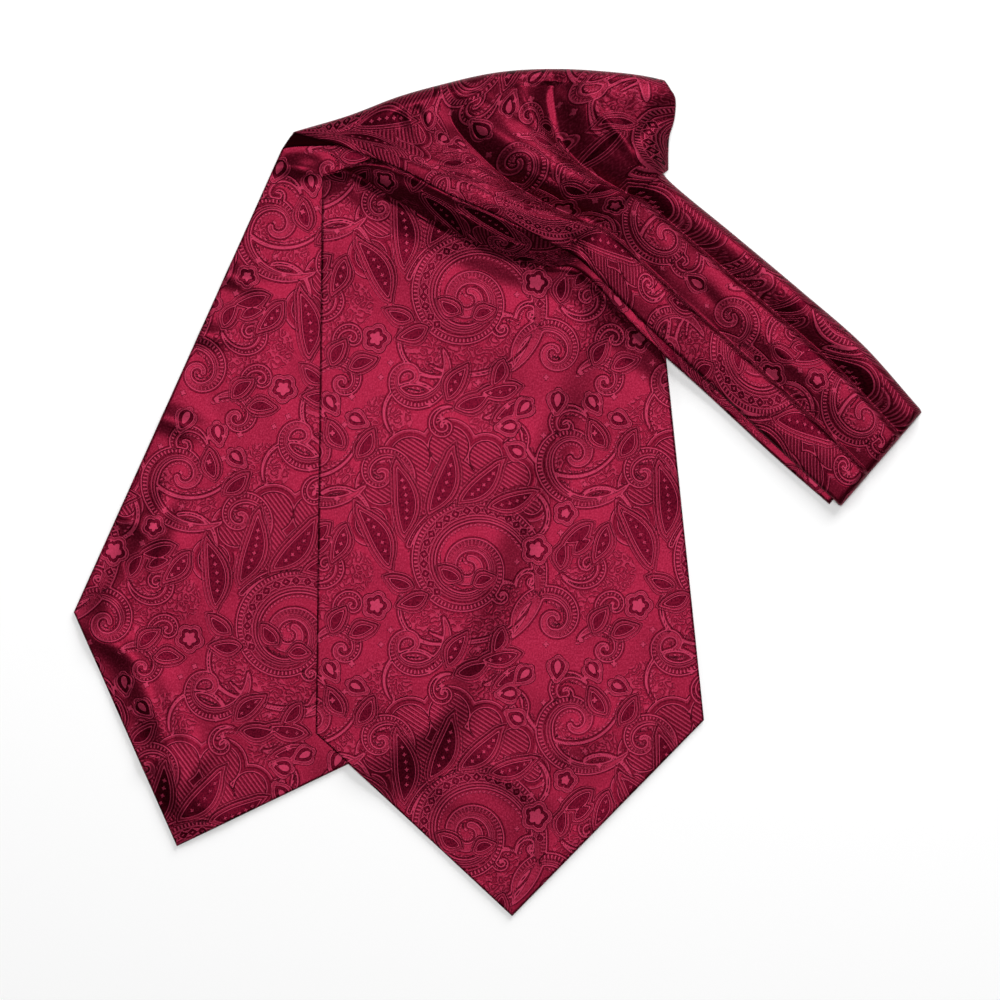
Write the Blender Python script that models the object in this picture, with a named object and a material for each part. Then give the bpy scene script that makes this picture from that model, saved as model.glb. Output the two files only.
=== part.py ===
# Silk cravat: a pleated ascot, folded in half at the neck and laid flat with its two points below.
# Metres, +Z up from the table, +Y away from the points. The origin is on the table, under the
# middle of the heap. The tables are in millimetres and the meshes in metres.
import bpy
import numpy as np

MM = 0.001
PLY = 1.6  # one stretch of cloth: two layers of silk with turned edges
GAP = 0.3  # between two stretches that lie on each other
STEP = PLY + GAP
DRAPE = 22.0  # a layer runs this far past the edge beneath before it reaches the table
ROUND = 0.5  # width of the rounded border of every edge
EDGE_SHARE = 0.3  # how far the two faces draw together along a border
HEAP_MIDDLE = (-0.5, 0.5, 0.0)  # of the laid cravat, in the tables' own frame

# Both blades are 160 mm wide at their corners, with a point of 90 degrees
BACK = {
    "left_corner": (-175.3, -48.7),
    "tip": (-132.8, -145.2),
    "right_corner": (-32.2, -96.9),
    "right_top": (66.0, 168.0),
}
FRONT = {
    "left_corner": (-75.5, -98.6),
    "tip": (5.4, -174.0),
    "right_corner": (84.5, -93.2),
    "left_top": (-72.8, 130.9),
    "right_top": (57.8, 162.0),
}

# The top fold, where the back blade turns over into the neckband, seen from above
FOLD_OUTLINE = np.array([
    (-85.0, 148.9), (-61.4, 155.9), (-40.8, 163.7), (-24.3, 168.3), (0.4, 173.6),
    (21.0, 174.9), (41.7, 174.0), (62.3, 171.6), (68.5, 170.3),
])
FOLD_DEPTH = {"left": 2.2, "middle": 5.0, "right": 3.2}  # from the outline in to the top of the roll
FOLD_UNDER = 6.0  # the roll carries on this far along the table
FOLD_TURN = 0.14  # share of the fold at each end over which its edges turn along the hems

# Soft waves of the two blades that lie on the table: the middle, the way that the crest runs, its
# length and width from the middle to where it has faded to a third, and its height
WAVE_COLUMNS = ("x", "y", "angle", "length", "width", "height")
WAVES = {
    "back_blade": (
        (-163.0, -52.0, 62.0, 22.0, 7.0, 0.9),
        (-128.0, -122.0, -40.0, 26.0, 8.0, 1.0),
        (-146.0, 0.0, 66.0, 30.0, 9.0, 0.8),
        (-110.0, 84.0, 60.0, 34.0, 8.0, 0.8),
    ),
    "front_blade": (
        (0.0, -112.0, -50.0, 26.0, 10.0, 1.0),
        (-34.0, -96.0, 30.0, 22.0, 9.0, 0.8),
        (34.0, -104.0, 40.0, 30.0, 10.0, 0.8),
        (30.0, -146.0, 44.0, 26.0, 7.0, 0.7),
    ),
}

# The neckband that comes over the top fold. A row is one section across it, from its lower edge to
# its upper edge: both ends, how much of the top fold's arch it keeps, where the crests and valleys
# of the three pleats lie as shares of its width, and how high each rises over the layer beneath.
# From the seventh row on, each crest stands past its valley: the pleat is laid over its neighbour.
UPPER_COLUMNS = (
    "lower_x", "lower_y", "upper_x", "upper_y", "arch",
    "crest_1", "valley_1", "crest_2", "valley_2", "crest_3",
    "rise_lower", "rise_crest_1", "rise_valley_1", "rise_crest_2", "rise_valley_2",
    "rise_crest_3", "rise_upper",
)
UPPER_ROWS = (
    (-63.5, 142.3, 72.6, 162.5, 0.60, 0.05, 0.35, 0.41, 0.64, 0.73, 1.6, 2.6, 1.4, 4.2, 0.9, 4.0, 1.2),
    (-40.8, 133.2, 72.2, 154.2, 0.30, 0.07, 0.32, 0.42, 0.58, 0.76, 2.8, 3.9, 0.8, 4.8, 0.6, 3.8, 1.0),
    (-20.2, 122.5, 70.1, 146.8, 0.10, 0.11, 0.31, 0.49, 0.58, 0.82, 3.6, 4.8, 0.5, 4.8, 0.4, 3.6, 0.8),
    (0.4, 113.4, 69.7, 139.8, 0.0, 0.13, 0.29, 0.56, 0.61, 0.87, 3.6, 4.8, 0.4, 4.4, 0.3, 3.4, 0.6),
    (21.0, 102.7, 69.7, 133.6, 0.0, 0.25, 0.31, 0.64, 0.66, 0.91, 2.6, 4.0, 0.3, 3.4, 0.2, 2.8, 0.5),
    (34.6, 94.9, 69.7, 129.1, 0.0, 0.350, 0.315, 0.745, 0.710, 0.93, 1.4, 2.8, 0.2, 2.8, 0.1, 2.2, 0.5),
    (60.6, 69.3, 96.5, 106.8, 0.0, 0.350, 0.315, 0.745, 0.710, 0.93, 0.9, 2.4, 0.1, 2.4, 0.1, 1.9, 0.4),
    (88.3, 43.7, 124.1, 83.7, 0.0, 0.350, 0.315, 0.745, 0.710, 0.93, 0.8, 2.3, 0.1, 2.3, 0.1, 1.8, 0.4),
    (114.2, 19.4, 149.7, 61.4, 0.0, 0.350, 0.315, 0.745, 0.710, 0.93, 0.8, 2.3, 0.1, 2.3, 0.1, 1.8, 0.4),
    (138.3, -2.8, 172.0, 36.4, 0.0, 0.350, 0.315, 0.745, 0.710, 0.93, 0.8, 2.2, 0.1, 2.2, 0.1, 1.7, 0.4),
)
FOLD_SHARES = (0.03, 0.42, 0.48, 0.70, 0.79)  # crests and valleys where the pleats open at the fold
FOLD_RISES = (0.5, 0.9, 2.4, 3.0, 1.2, 2.6, 0.8)
PLEATS_SHUT = (4.0, 6.0)  # rows between which the hollow under the fan closes
LIP = 0.012  # how far a laid pleat's rounded edge bulges, as a share of the band's width
BAND_END = 3.4  # from the last section to the folded end of the band
BAND_FOOT = 0.75  # share of that which reaches the table

# The neckband beneath, out of the front blade's hidden fold: a row is its lower and upper edge
UNDER_COLUMNS = ("lower_x", "lower_y", "upper_x", "upper_y")
UNDER_ROWS = (
    (-72.3, 131.4, 59.3, 162.8),
    (-61.0, 132.4, 64.6, 158.4),
    (-42.9, 121.2, 67.6, 152.2),
    (-22.3, 110.1, 68.5, 146.0),
    (-1.6, 99.8, 68.8, 139.8),
    (19.0, 93.6, 69.0, 134.4),
    (34.0, 91.2, 69.0, 129.5),
    (58.1, 66.0, 94.8, 105.0),
    (86.2, 40.6, 122.6, 82.1),
    (112.4, 16.4, 148.2, 59.8),
    (136.1, -4.2, 170.5, 36.5),
)
BAND_WAY = np.array([0.73, -0.68])  # the way that the band runs
UNDER_PLEATS = (-57.0, -2.0)  # its pleats are laid over this stretch, measured that way from the origin
UNDER_PLEATS_ADD = 1.2
UNDER_FOLD = 3.0  # from its first section to the outside of the hidden fold

BURGUNDY = {
    "back_blade": (0.30, 0.016, 0.045),
    "front_blade": (0.36, 0.020, 0.055),
    "under_neck_stretch": (0.14, 0.006, 0.018),
    "upper_neck_stretch": (0.24, 0.012, 0.035),
}


def smooth_step(share):
    """Rises from 0 to 1 with level ends as share goes from 0 to 1."""
    share = np.clip(share, 0.0, 1.0)
    return share * share * (3.0 - 2.0 * share)


def blend(first, last, share):
    """Goes from one point or number to another."""
    return first + (last - first) * share


def spline(knots, values, at):
    """A smooth curve through values at knots, read at the given places."""
    knots = np.asarray(knots, float)
    values = np.asarray(values, float)
    at = np.asarray(at, float)
    slopes = np.gradient(values, knots, axis=0)
    i = np.clip(np.searchsorted(knots, at) - 1, 0, len(knots) - 2)
    width = knots[i + 1] - knots[i]
    w = (at - knots[i]) / width
    if values.ndim > 1:
        width = width[..., None]
        w = w[..., None]
    start = (1 + 2 * w) * (1 - w) ** 2 * values[i] + w * (1 - w) ** 2 * width * slopes[i]
    end = w * w * (3 - 2 * w) * values[i + 1] + w * w * (w - 1) * width * slopes[i + 1]
    return start + end


def past_line(xy, start, end):
    """How far points lie to the right of the line from start to end."""
    start = np.asarray(start, float)
    way = np.asarray(end, float) - start
    way = way / np.hypot(*way)
    return (xy[..., 0] - start[0]) * way[1] - (xy[..., 1] - start[1]) * way[0]


def on_table(xy):
    """Underside of what lies flat on the table."""
    return np.zeros(xy.shape[:-1])


def under_front(xy):
    """Underside of the front blade: over the back blade, then down to the table."""
    below = past_line(xy, BACK["tip"], BACK["right_corner"])
    beside = past_line(xy, BACK["right_corner"], BACK["right_top"])
    return STEP * (1.0 - smooth_step(np.maximum(below, beside) / DRAPE))


def under_lower_band(xy):
    """Underside of the lower neck stretch: over the front blade, then down to the table."""
    past = past_line(xy, FRONT["right_corner"], FRONT["right_top"])
    return (under_front(xy) + STEP) * (1.0 - smooth_step(past / DRAPE))


def lower_band_thick(xy):
    """Thickness of the lower neck stretch, which grows where its own pleats are laid."""
    along = xy @ BAND_WAY
    laid = smooth_step((along - UNDER_PLEATS[0]) / (UNDER_PLEATS[1] - UNDER_PLEATS[0]))
    return PLY + UNDER_PLEATS_ADD * laid


def under_upper_band(xy):
    """Underside of the upper neck stretch: over the lower one, and left of it on the back blade."""
    left = past_line(xy, FRONT["left_top"], FRONT["left_corner"])
    held = 1.0 - smooth_step(left / DRAPE)
    return STEP + (under_lower_band(xy) + lower_band_thick(xy) + GAP - STEP) * held


def waves(name, xy):
    """Height of a blade's soft waves, which fade out along and across their crests."""
    height = np.zeros(xy.shape[:-1])
    for row in WAVES[name]:
        wave = dict(zip(WAVE_COLUMNS, row))
        turn = np.radians(wave["angle"])
        x = xy[..., 0] - wave["x"]
        y = xy[..., 1] - wave["y"]
        along = (x * np.cos(turn) + y * np.sin(turn)) / wave["length"]
        across = (y * np.cos(turn) - x * np.sin(turn)) / wave["width"]
        height += wave["height"] * np.exp(-along ** 2 - across ** 2)
    return height


def fold_line(share):
    """Points of the top fold's outline, at shares of its width from left to right."""
    knots = (FOLD_OUTLINE[:, 0] - FOLD_OUTLINE[0, 0]) / np.ptp(FOLD_OUTLINE[:, 0])
    return spline(knots, FOLD_OUTLINE, share)


def turned_ways(share, left_way, right_way):
    """Ways in from the fold's outline, square to it but along the hems at both ends."""
    small = 0.01
    run = fold_line(np.minimum(share + small, 1.0)) - fold_line(np.maximum(share - small, 0.0))
    ways = np.stack([run[:, 1], -run[:, 0]], axis=1)
    ways /= np.linalg.norm(ways, axis=1)[:, None]
    at_left = 1.0 - smooth_step(share / FOLD_TURN)
    at_right = 1.0 - smooth_step((1.0 - share) / FOLD_TURN)
    ways = blend(ways, np.array(left_way), at_left[:, None])
    return blend(ways, np.array(right_way), at_right[:, None])


def fold_depth(share):
    """From the fold's outline in to the top of its roll."""
    at_left = 1.0 - smooth_step(share / FOLD_TURN)
    at_right = 1.0 - smooth_step((1.0 - share) / FOLD_TURN)
    depth = FOLD_DEPTH["middle"] + (FOLD_DEPTH["left"] - FOLD_DEPTH["middle"]) * at_left
    return depth + (FOLD_DEPTH["right"] - FOLD_DEPTH["middle"]) * at_right


OVER_WAYS = ((0.95, -0.30), (0.46, -0.89))  # along the upper stretch's two edges
UNDER_WAYS = ((-0.55, -0.83), (-0.30, -0.95))  # along the back blade's two edges


def even_shares(count, length):
    """Shares from 0 to 1 with one more close to each end, for the rounded border."""
    border = ROUND / length
    inner = np.linspace(0.0, 1.0, count)[1:-1]
    return np.concatenate([[0.0, border], inner, [1.0 - border, 1.0]])


def cloth(name, outer, inner):
    """A closed piece of cloth between two grids of points that have the same rows and columns. Seen
    from above, its columns go to the right of the way that its rows run."""
    rows, columns = outer.shape[:2]
    border = np.zeros((rows, columns, 1), bool)
    border[[0, -1]] = True
    border[:, [0, -1]] = True
    drawn_outer = np.where(border, blend(outer, inner, EDGE_SHARE), outer)
    drawn_inner = np.where(border, blend(inner, outer, EDGE_SHARE), inner)
    points = np.concatenate([drawn_outer.reshape(-1, 3), drawn_inner.reshape(-1, 3)])
    points = (points - HEAP_MIDDLE) * MM
    number = np.arange(rows * columns).reshape(rows, columns)
    below = rows * columns
    faces = []
    for r in range(rows - 1):
        for c in range(columns - 1):
            a, b = number[r, c], number[r, c + 1]
            d, e = number[r + 1, c], number[r + 1, c + 1]
            faces.append((a, b, e, d))
            faces.append((below + a, below + d, below + e, below + b))
    loop = list(number[0, :-1]) + list(number[:-1, -1]) + list(number[-1, :0:-1]) + list(number[:0:-1, 0])
    for a, b in zip(loop, loop[1:] + loop[:1]):
        faces.append((b, a, below + a, below + b))
    mesh = bpy.data.meshes.new(name)
    mesh.from_pydata(points.tolist(), [], [tuple(int(i) for i in face) for face in faces])
    mesh.update()
    piece = bpy.data.objects.new(name, mesh)
    collection.objects.link(piece)
    material = bpy.data.materials.new(name + "_silk")
    material.use_nodes = True
    shader = material.node_tree.nodes["Principled BSDF"]
    shader.inputs["Base Color"].default_value = (*BURGUNDY[name], 1.0)
    shader.inputs["Roughness"].default_value = 0.42
    shader.inputs["Metallic"].default_value = 0.0
    mesh.materials.append(material)
    mesh.shade_smooth()
    mesh.set_sharp_from_angle(angle=np.radians(50.0))
    return piece


def blade(name, sizes, columns, top_line, underside):
    """A pointed blade: columns run from the two sides of its point up to its top line."""
    rows = even_shares(26, 250.0)
    corners = np.array([sizes["left_corner"], sizes["tip"], sizes["right_corner"]])
    start = np.stack([np.interp(columns, (0.0, 0.5, 1.0), corners[:, k]) for k in (0, 1)], axis=1)
    end = top_line(columns)
    xy = blend(start[None], end[None], rows[:, None, None])
    low = underside(xy)
    top = low + PLY + waves(name, xy)
    outer = np.concatenate([xy, top[..., None]], axis=2)
    inner = np.concatenate([xy, low[..., None]], axis=2)
    return cloth(name, outer, inner)


def upper_columns():
    """Column numbers across the pleats, from 0 at one edge to 6 at the other."""
    border = 0.08
    return np.concatenate([[0.0, border], np.arange(1, 24) / 4.0, [6.0 - border, 6.0]])


def fold_shares():
    """Where those columns cross the top fold."""
    return np.interp(upper_columns(), range(7), (0.0,) + FOLD_SHARES + (1.0,))


def back_top_line(share):
    """The back blade stops where the top fold's roll comes down to the table."""
    ways = turned_ways(share, *UNDER_WAYS)
    return fold_line(share) + ways * (fold_depth(share) + FOLD_UNDER + GAP)[:, None]


def split_at_tip(shares):
    """The same shares with one more at the tip, in the middle."""
    return np.sort(np.append(shares, 0.5))


def front_top_line(share):
    """The front blade's hidden end, a straight line."""
    return blend(np.array(FRONT["left_top"]), np.array(FRONT["right_top"]), share[:, None])


def table_at(columns, rows, places):
    """Each named column of a table, read along a smooth curve at the given row numbers."""
    values = spline(np.arange(len(rows)), np.array(rows), places)
    return {name: values[:, k] for k, name in enumerate(columns)}


def under_neck_stretch():
    """The lower neck stretch: its fold wraps the front blade's end, and it runs on to the band's end."""
    turn = np.radians(np.linspace(-50.0, 90.0, 7)[:-1])
    places = np.concatenate([
        [0.0, 0.15], np.linspace(0.4, 6.0, 18), np.linspace(6.15, 8.0, 13), [8.6, 9.3, 9.98, 10.0],
    ])
    columns = even_shares(12, 90.0)
    row = table_at(UNDER_COLUMNS, UNDER_ROWS, places)
    lower = np.stack([row["lower_x"], row["lower_y"]], axis=1)
    upper = np.stack([row["upper_x"], row["upper_y"]], axis=1)
    xy = blend(lower[:, None], upper[:, None], columns[None, :, None])
    low = under_lower_band(xy)
    top = low + lower_band_thick(xy)
    outer = np.concatenate([xy, top[..., None]], axis=2)
    inner = np.concatenate([xy, low[..., None]], axis=2)
    # The fold: out from the first section, round and down to the front blade's underside
    way = np.array([-(xy[0, -1] - xy[0, 0])[1], (xy[0, -1] - xy[0, 0])[0]])
    way /= np.hypot(*way)
    foot = under_front(xy[0])
    middle = (top[0] + foot) / 2.0
    half = (top[0] - foot) / 2.0
    fold_outer = []
    fold_inner = []
    for k, angle in enumerate(turn):
        place = xy[0] + way * UNDER_FOLD * np.cos(angle)
        height = middle + half * np.sin(angle)
        if k == 0:
            height = foot
        fold_outer.append(np.column_stack([place, height]))
        fold_inner.append(np.column_stack([xy[0], blend(foot, low[0], k / len(turn))]))
    outer = np.concatenate([np.array(fold_outer), outer])
    inner = np.concatenate([np.array(fold_inner), inner])
    return cloth("under_neck_stretch", outer[:, ::-1], inner[:, ::-1])


def upper_sections(places, columns, first_curve):
    """Points across the upper stretch at given rows. A column runs from 0 at the lower edge through
    its crests and valleys, 1 to 5, to 6 at the upper edge. Returns both faces' places and rises."""
    first_row = (*first_curve[0], *first_curve[-1], 1.0, *FOLD_SHARES, *FOLD_RISES)
    row = table_at(UPPER_COLUMNS, (first_row,) + UPPER_ROWS, places)
    stations = np.stack(
        [np.zeros(len(places))] + [row[name] for name in UPPER_COLUMNS[5:10]] + [np.ones(len(places))],
        axis=1,
    )
    rises = np.stack([row[name] for name in UPPER_COLUMNS[10:]], axis=1)
    rises = np.maximum(rises, 0.0)
    part = np.minimum(columns.astype(int), 5)
    local = columns - part
    share = stations[:, part] * (1.0 - local) + stations[:, part + 1] * local
    falls = part % 2 == 1
    laid = np.clip((stations[:, part] - stations[:, part + 1]) / 0.035, 0.0, 1.0)
    share = share + np.where(falls, LIP * laid * np.sin(np.pi * local), 0.0)
    climb = np.sin(0.5 * np.pi * np.where(falls, 1.0 - local, local))
    low = np.where(falls, rises[:, part + 1], rises[:, part])
    high = np.where(falls, rises[:, part], rises[:, part + 1])
    rise = low + (high - low) * climb
    lower = np.stack([row["lower_x"], row["lower_y"]], axis=1)
    upper = np.stack([row["upper_x"], row["upper_y"]], axis=1)
    chord = blend(first_curve[0], first_curve[-1], np.linspace(0.0, 1.0, len(first_curve))[:, None])
    arch = first_curve - chord
    knots = np.linspace(0.0, 1.0, len(first_curve))

    def at(shares):
        bend = np.stack([np.interp(shares, knots, arch[:, k]) for k in (0, 1)], axis=-1)
        straight = blend(lower[:, None], upper[:, None], shares[..., None])
        return straight + bend * row["arch"][:, None, None]

    evenly = np.arange(len(columns)) / (len(columns) - 1.0)
    shut = smooth_step((places - PLEATS_SHUT[0]) / (PLEATS_SHUT[1] - PLEATS_SHUT[0]))[:, None]
    beneath = blend(share, evenly[None, :], shut)
    return at(share), at(beneath), rise, rise * (1.0 - shut)


def upper_neck_stretch():
    """The upper stretch: round the top fold, out into the fan, along the band and down at its end."""
    columns = upper_columns()
    shares = np.linspace(0.0, 1.0, 41)
    over = turned_ways(shares, *OVER_WAYS)
    first_curve = fold_line(shares) + over * fold_depth(shares)[:, None]
    places = np.concatenate([np.linspace(0.0, 6.0, 25), np.linspace(6.17, 8.0, 12), [8.6, 9.3, 10.0]])
    top_xy, low_xy, rise, low_rise = upper_sections(places, columns, first_curve)
    top = under_upper_band(top_xy) + PLY + rise
    low = under_upper_band(low_xy) + low_rise
    outer = np.concatenate([top_xy, top[..., None]], axis=2)
    inner = np.concatenate([low_xy, low[..., None]], axis=2)

    # The top fold, as a hollow roll that ends on the table
    at_fold = fold_shares()
    line = fold_line(at_fold)
    over = turned_ways(at_fold, *OVER_WAYS)
    beneath = turned_ways(at_fold, *UNDER_WAYS)
    depth = fold_depth(at_fold)[:, None]
    half = top[0] / 2.0
    roll_outer = []
    roll_inner = []
    for under in (FOLD_UNDER, FOLD_UNDER - ROUND, FOLD_UNDER / 2.0):
        place = line + beneath * (depth + under)
        roll_outer.append(np.column_stack([place, 0.0 * half]))
        roll_inner.append(np.column_stack([place, 0.0 * half + PLY]))
    for angle in np.radians(np.linspace(-90.0, 90.0, 11)[:-1]):
        way = blend(beneath, over, (1.0 + np.sin(angle)) / 2.0)
        place = line + way * depth * (1.0 - np.cos(angle))
        roll_outer.append(np.column_stack([place, half * (1.0 + np.sin(angle))]))
        place = line + way * (depth - (depth - PLY) * np.cos(angle))
        roll_inner.append(np.column_stack([place, half + (half - PLY) * np.sin(angle)]))

    # The band's end, folded down to the table round the stretch beneath
    run = outer[-1, :, :2].mean(axis=0) - outer[-4, :, :2].mean(axis=0)
    run /= np.hypot(*run)
    end_outer = []
    end_inner = []
    angles = np.radians(np.linspace(90.0, -60.0, 8)[1:])
    for k, angle in enumerate(angles):
        share = (k + 1) / len(angles)
        height = top[-1] / 2.0 * (1.0 + np.sin(angle))
        reach = BAND_END * np.cos(angle)
        if k == len(angles) - 1:
            height = 0.0 * height
            reach = BAND_END * BAND_FOOT
        end_outer.append(np.column_stack([outer[-1, :, :2] + run * reach, height]))
        drop = low[-1] * (1.0 - share)
        end_inner.append(np.column_stack([inner[-1, :, :2] + run * GAP * share, drop]))
    outer = np.concatenate([roll_outer, outer, end_outer])
    inner = np.concatenate([roll_inner, inner, end_inner])
    return cloth("upper_neck_stretch", outer[:, ::-1], inner[:, ::-1])


for old in list(bpy.data.objects):
    bpy.data.objects.remove(old)
collection = bpy.data.collections.new("silk_cravat")
bpy.context.scene.collection.children.link(collection)

blade("back_blade", BACK, split_at_tip(fold_shares()), back_top_line, on_table)
blade("front_blade", FRONT, even_shares(25, 160.0), front_top_line, under_front)
under_neck_stretch()
upper_neck_stretch()
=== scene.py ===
import bpy
import numpy as np
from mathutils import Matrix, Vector


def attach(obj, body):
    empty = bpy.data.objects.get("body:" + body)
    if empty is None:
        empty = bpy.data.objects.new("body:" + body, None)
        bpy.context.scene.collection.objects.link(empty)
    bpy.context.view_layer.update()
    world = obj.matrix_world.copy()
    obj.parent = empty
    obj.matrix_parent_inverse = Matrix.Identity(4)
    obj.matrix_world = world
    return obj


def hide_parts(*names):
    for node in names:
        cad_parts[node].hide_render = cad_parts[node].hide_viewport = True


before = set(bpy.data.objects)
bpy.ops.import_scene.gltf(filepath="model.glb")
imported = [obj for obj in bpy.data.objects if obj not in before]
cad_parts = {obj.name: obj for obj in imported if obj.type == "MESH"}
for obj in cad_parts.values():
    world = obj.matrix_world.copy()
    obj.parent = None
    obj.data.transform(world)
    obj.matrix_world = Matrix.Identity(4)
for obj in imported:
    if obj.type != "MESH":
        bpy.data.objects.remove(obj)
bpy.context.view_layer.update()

# The back blade. One end of the cravat: figured silk over a light interlining, cut 160 mm wide at
# its corners, with its edges turned under and pressed. It lies on the table, passes beneath the front
# blade, and goes over into the neckband at the top fold. The tables are in millimetres.
MM = 0.001
PLY = 1.6
GAP = 0.3
STEP = PLY + GAP
DRAPE = 22.0  # a layer runs this far past the edge beneath before it reaches the table
EDGE_ROUND = 1.0  # radius of a pressed edge, seen from above
EDGE_ROWS = (0.12, 0.3, 0.6, 1.0)  # rows of points beside each edge, for that round
EDGE_SHARE = 0.35  # the two faces draw together this far along an edge
HIDDEN_STEP = 4  # a hidden face has every fourth row and column of the face that shows
HEAP_MIDDLE = (-0.5, 0.5, 0.0)
LEVEL_SHARE = 0.06  # share of the back blade's length over which it comes level with the roll
FINE = 0.68  # between two points of a blade's face, so that the woven lines stay crisp

BACK = {
    "left_corner": (-175.3, -48.7),
    "tip": (-132.8, -145.2),
    "right_corner": (-32.2, -96.9),
    "right_top": (66.0, 168.0),
}
BACK_GRAIN = np.radians(-20.5)  # the warp of the back blade leans this far from upright
BACK_FIGURE = (31.0, 58.0)  # where its figure starts

# The top fold, where the back blade turns over into the neckband, seen from above
FOLD_OUTLINE = np.array([
    (-85.0, 148.9), (-61.4, 155.9), (-40.8, 163.7), (-24.3, 168.3), (0.4, 173.6),
    (21.0, 174.9), (41.7, 174.0), (62.3, 171.6), (68.5, 170.3),
])
FOLD_DEPTH = {"left": 2.2, "middle": 5.0, "right": 3.2}
FOLD_UNDER = 6.0
FOLD_TURN = 0.14
UNDER_WAYS = ((-0.55, -0.83), (-0.30, -0.95))  # along the back blade's two edges

# Soft waves and creases: the middle, the way that the crest runs, its length and width from the
# middle to where it has faded to a third, and its height
WAVE_COLUMNS = ("x", "y", "angle", "length", "width", "height")
BACK_WAVES = (
    (-141.0, -91.0, -66.0, 38.0, 7.0, 1.7),
    (-143.0, -16.0, 65.5, 26.0, 6.5, 1.3),
    (-160.0, -62.0, -30.0, 16.0, 4.5, 0.9),
    (-150.0, -112.0, 20.0, 10.0, 4.0, 0.9),
    (-132.0, -128.0, -66.0, 12.0, 4.0, 0.9),
    (-163.0, -52.0, 62.0, 22.0, 7.0, 0.9),
    (-128.0, -122.0, -40.0, 26.0, 8.0, 1.0),
    (-110.0, 90.0, -20.0, 13.0, 4.5, 1.4),
    (-122.0, 66.0, -12.0, 12.0, 4.0, 1.3),
    (-136.0, 31.0, -20.0, 15.0, 5.0, 1.4),
    (-155.0, -9.0, -28.0, 15.0, 5.0, 1.2),
    (-88.0, 136.0, 12.0, 12.0, 3.0, 0.8),
    (-125.0, -112.0, 52.0, 20.0, 5.0, 0.7),
    (-81.0, 135.0, -10.0, 8.0, 4.5, 2.2),
)


def smooth_step(share):
    """Rises from 0 to 1 with level ends as share goes from 0 to 1."""
    share = np.clip(share, 0.0, 1.0)
    return share * share * (3.0 - 2.0 * share)


def blend(first, last, share):
    """Goes from one point or number to another."""
    return first + (last - first) * share


def spline(knots, values, at):
    """A smooth curve through values at knots, read at the given places."""
    knots = np.asarray(knots, float)
    values = np.asarray(values, float)
    at = np.asarray(at, float)
    slopes = np.gradient(values, knots, axis=0)
    i = np.clip(np.searchsorted(knots, at) - 1, 0, len(knots) - 2)
    width = knots[i + 1] - knots[i]
    w = (at - knots[i]) / width
    if values.ndim > 1:
        width = width[..., None]
        w = w[..., None]
    start = (1 + 2 * w) * (1 - w) ** 2 * values[i] + w * (1 - w) ** 2 * width * slopes[i]
    end = w * w * (3 - 2 * w) * values[i + 1] + w * w * (w - 1) * width * slopes[i + 1]
    return start + end


def fold_line(share):
    """Points of the top fold's outline, at shares of its width from left to right."""
    knots = (FOLD_OUTLINE[:, 0] - FOLD_OUTLINE[0, 0]) / np.ptp(FOLD_OUTLINE[:, 0])
    return spline(knots, FOLD_OUTLINE, share)


def turned_ways(share, left_way, right_way):
    """Ways in from the fold's outline, square to it but along the hems at both ends."""
    small = 0.01
    run = fold_line(np.minimum(share + small, 1.0)) - fold_line(np.maximum(share - small, 0.0))
    ways = np.stack([run[:, 1], -run[:, 0]], axis=1)
    ways /= np.linalg.norm(ways, axis=1)[:, None]
    at_left = 1.0 - smooth_step(share / FOLD_TURN)
    at_right = 1.0 - smooth_step((1.0 - share) / FOLD_TURN)
    ways = blend(ways, np.array(left_way), at_left[:, None])
    return blend(ways, np.array(right_way), at_right[:, None])


def fold_depth(share):
    """From the fold's outline in to the top of its roll."""
    at_left = 1.0 - smooth_step(share / FOLD_TURN)
    at_right = 1.0 - smooth_step((1.0 - share) / FOLD_TURN)
    depth = FOLD_DEPTH["middle"] + (FOLD_DEPTH["left"] - FOLD_DEPTH["middle"]) * at_left
    return depth + (FOLD_DEPTH["right"] - FOLD_DEPTH["middle"]) * at_right


def back_top_line(share):
    """The back blade goes on without a seam into the top fold's roll, where that leaves the table."""
    ways = turned_ways(share, *UNDER_WAYS)
    return fold_line(share) + ways * (fold_depth(share) + FOLD_UNDER)[:, None]


def waves(rows, xy):
    """Height of soft waves, which fade out along and across their crests."""
    height = np.zeros(xy.shape[:-1])
    for row in rows:
        wave = dict(zip(WAVE_COLUMNS, row))
        turn = np.radians(wave["angle"])
        x = xy[..., 0] - wave["x"]
        y = xy[..., 1] - wave["y"]
        along = (x * np.cos(turn) + y * np.sin(turn)) / wave["length"]
        across = (y * np.cos(turn) - x * np.sin(turn)) / wave["width"]
        height += wave["height"] * np.exp(-along ** 2 - across ** 2)
    return height


def unevenness(xy, seed, lengths=(17.0, 29.0, 46.0), height=0.07):
    """The small rise and fall that pressed silk keeps, as a few long waves in all directions."""
    rng = np.random.default_rng(seed)
    total = np.zeros(xy.shape[:-1])
    for length in lengths:
        for _ in range(4):
            angle = rng.uniform(0.0, np.pi)
            phase = rng.uniform(0.0, 2.0 * np.pi)
            way = np.array([np.cos(angle), np.sin(angle)]) * 2.0 * np.pi / length
            total += np.sin(xy @ way + phase) * height * length / 60.0
    return total


def even_shares(count, length):
    """Shares from 0 to 1, with the rows for the rounded edge close to each end."""
    border = np.array(EDGE_ROWS) / length
    inner = np.linspace(0.0, 1.0, count)
    inner = inner[(inner > border[-1]) & (inner < 1.0 - border[-1])]
    return np.concatenate([[0.0], border, inner, 1.0 - border[::-1], [1.0]])


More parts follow.
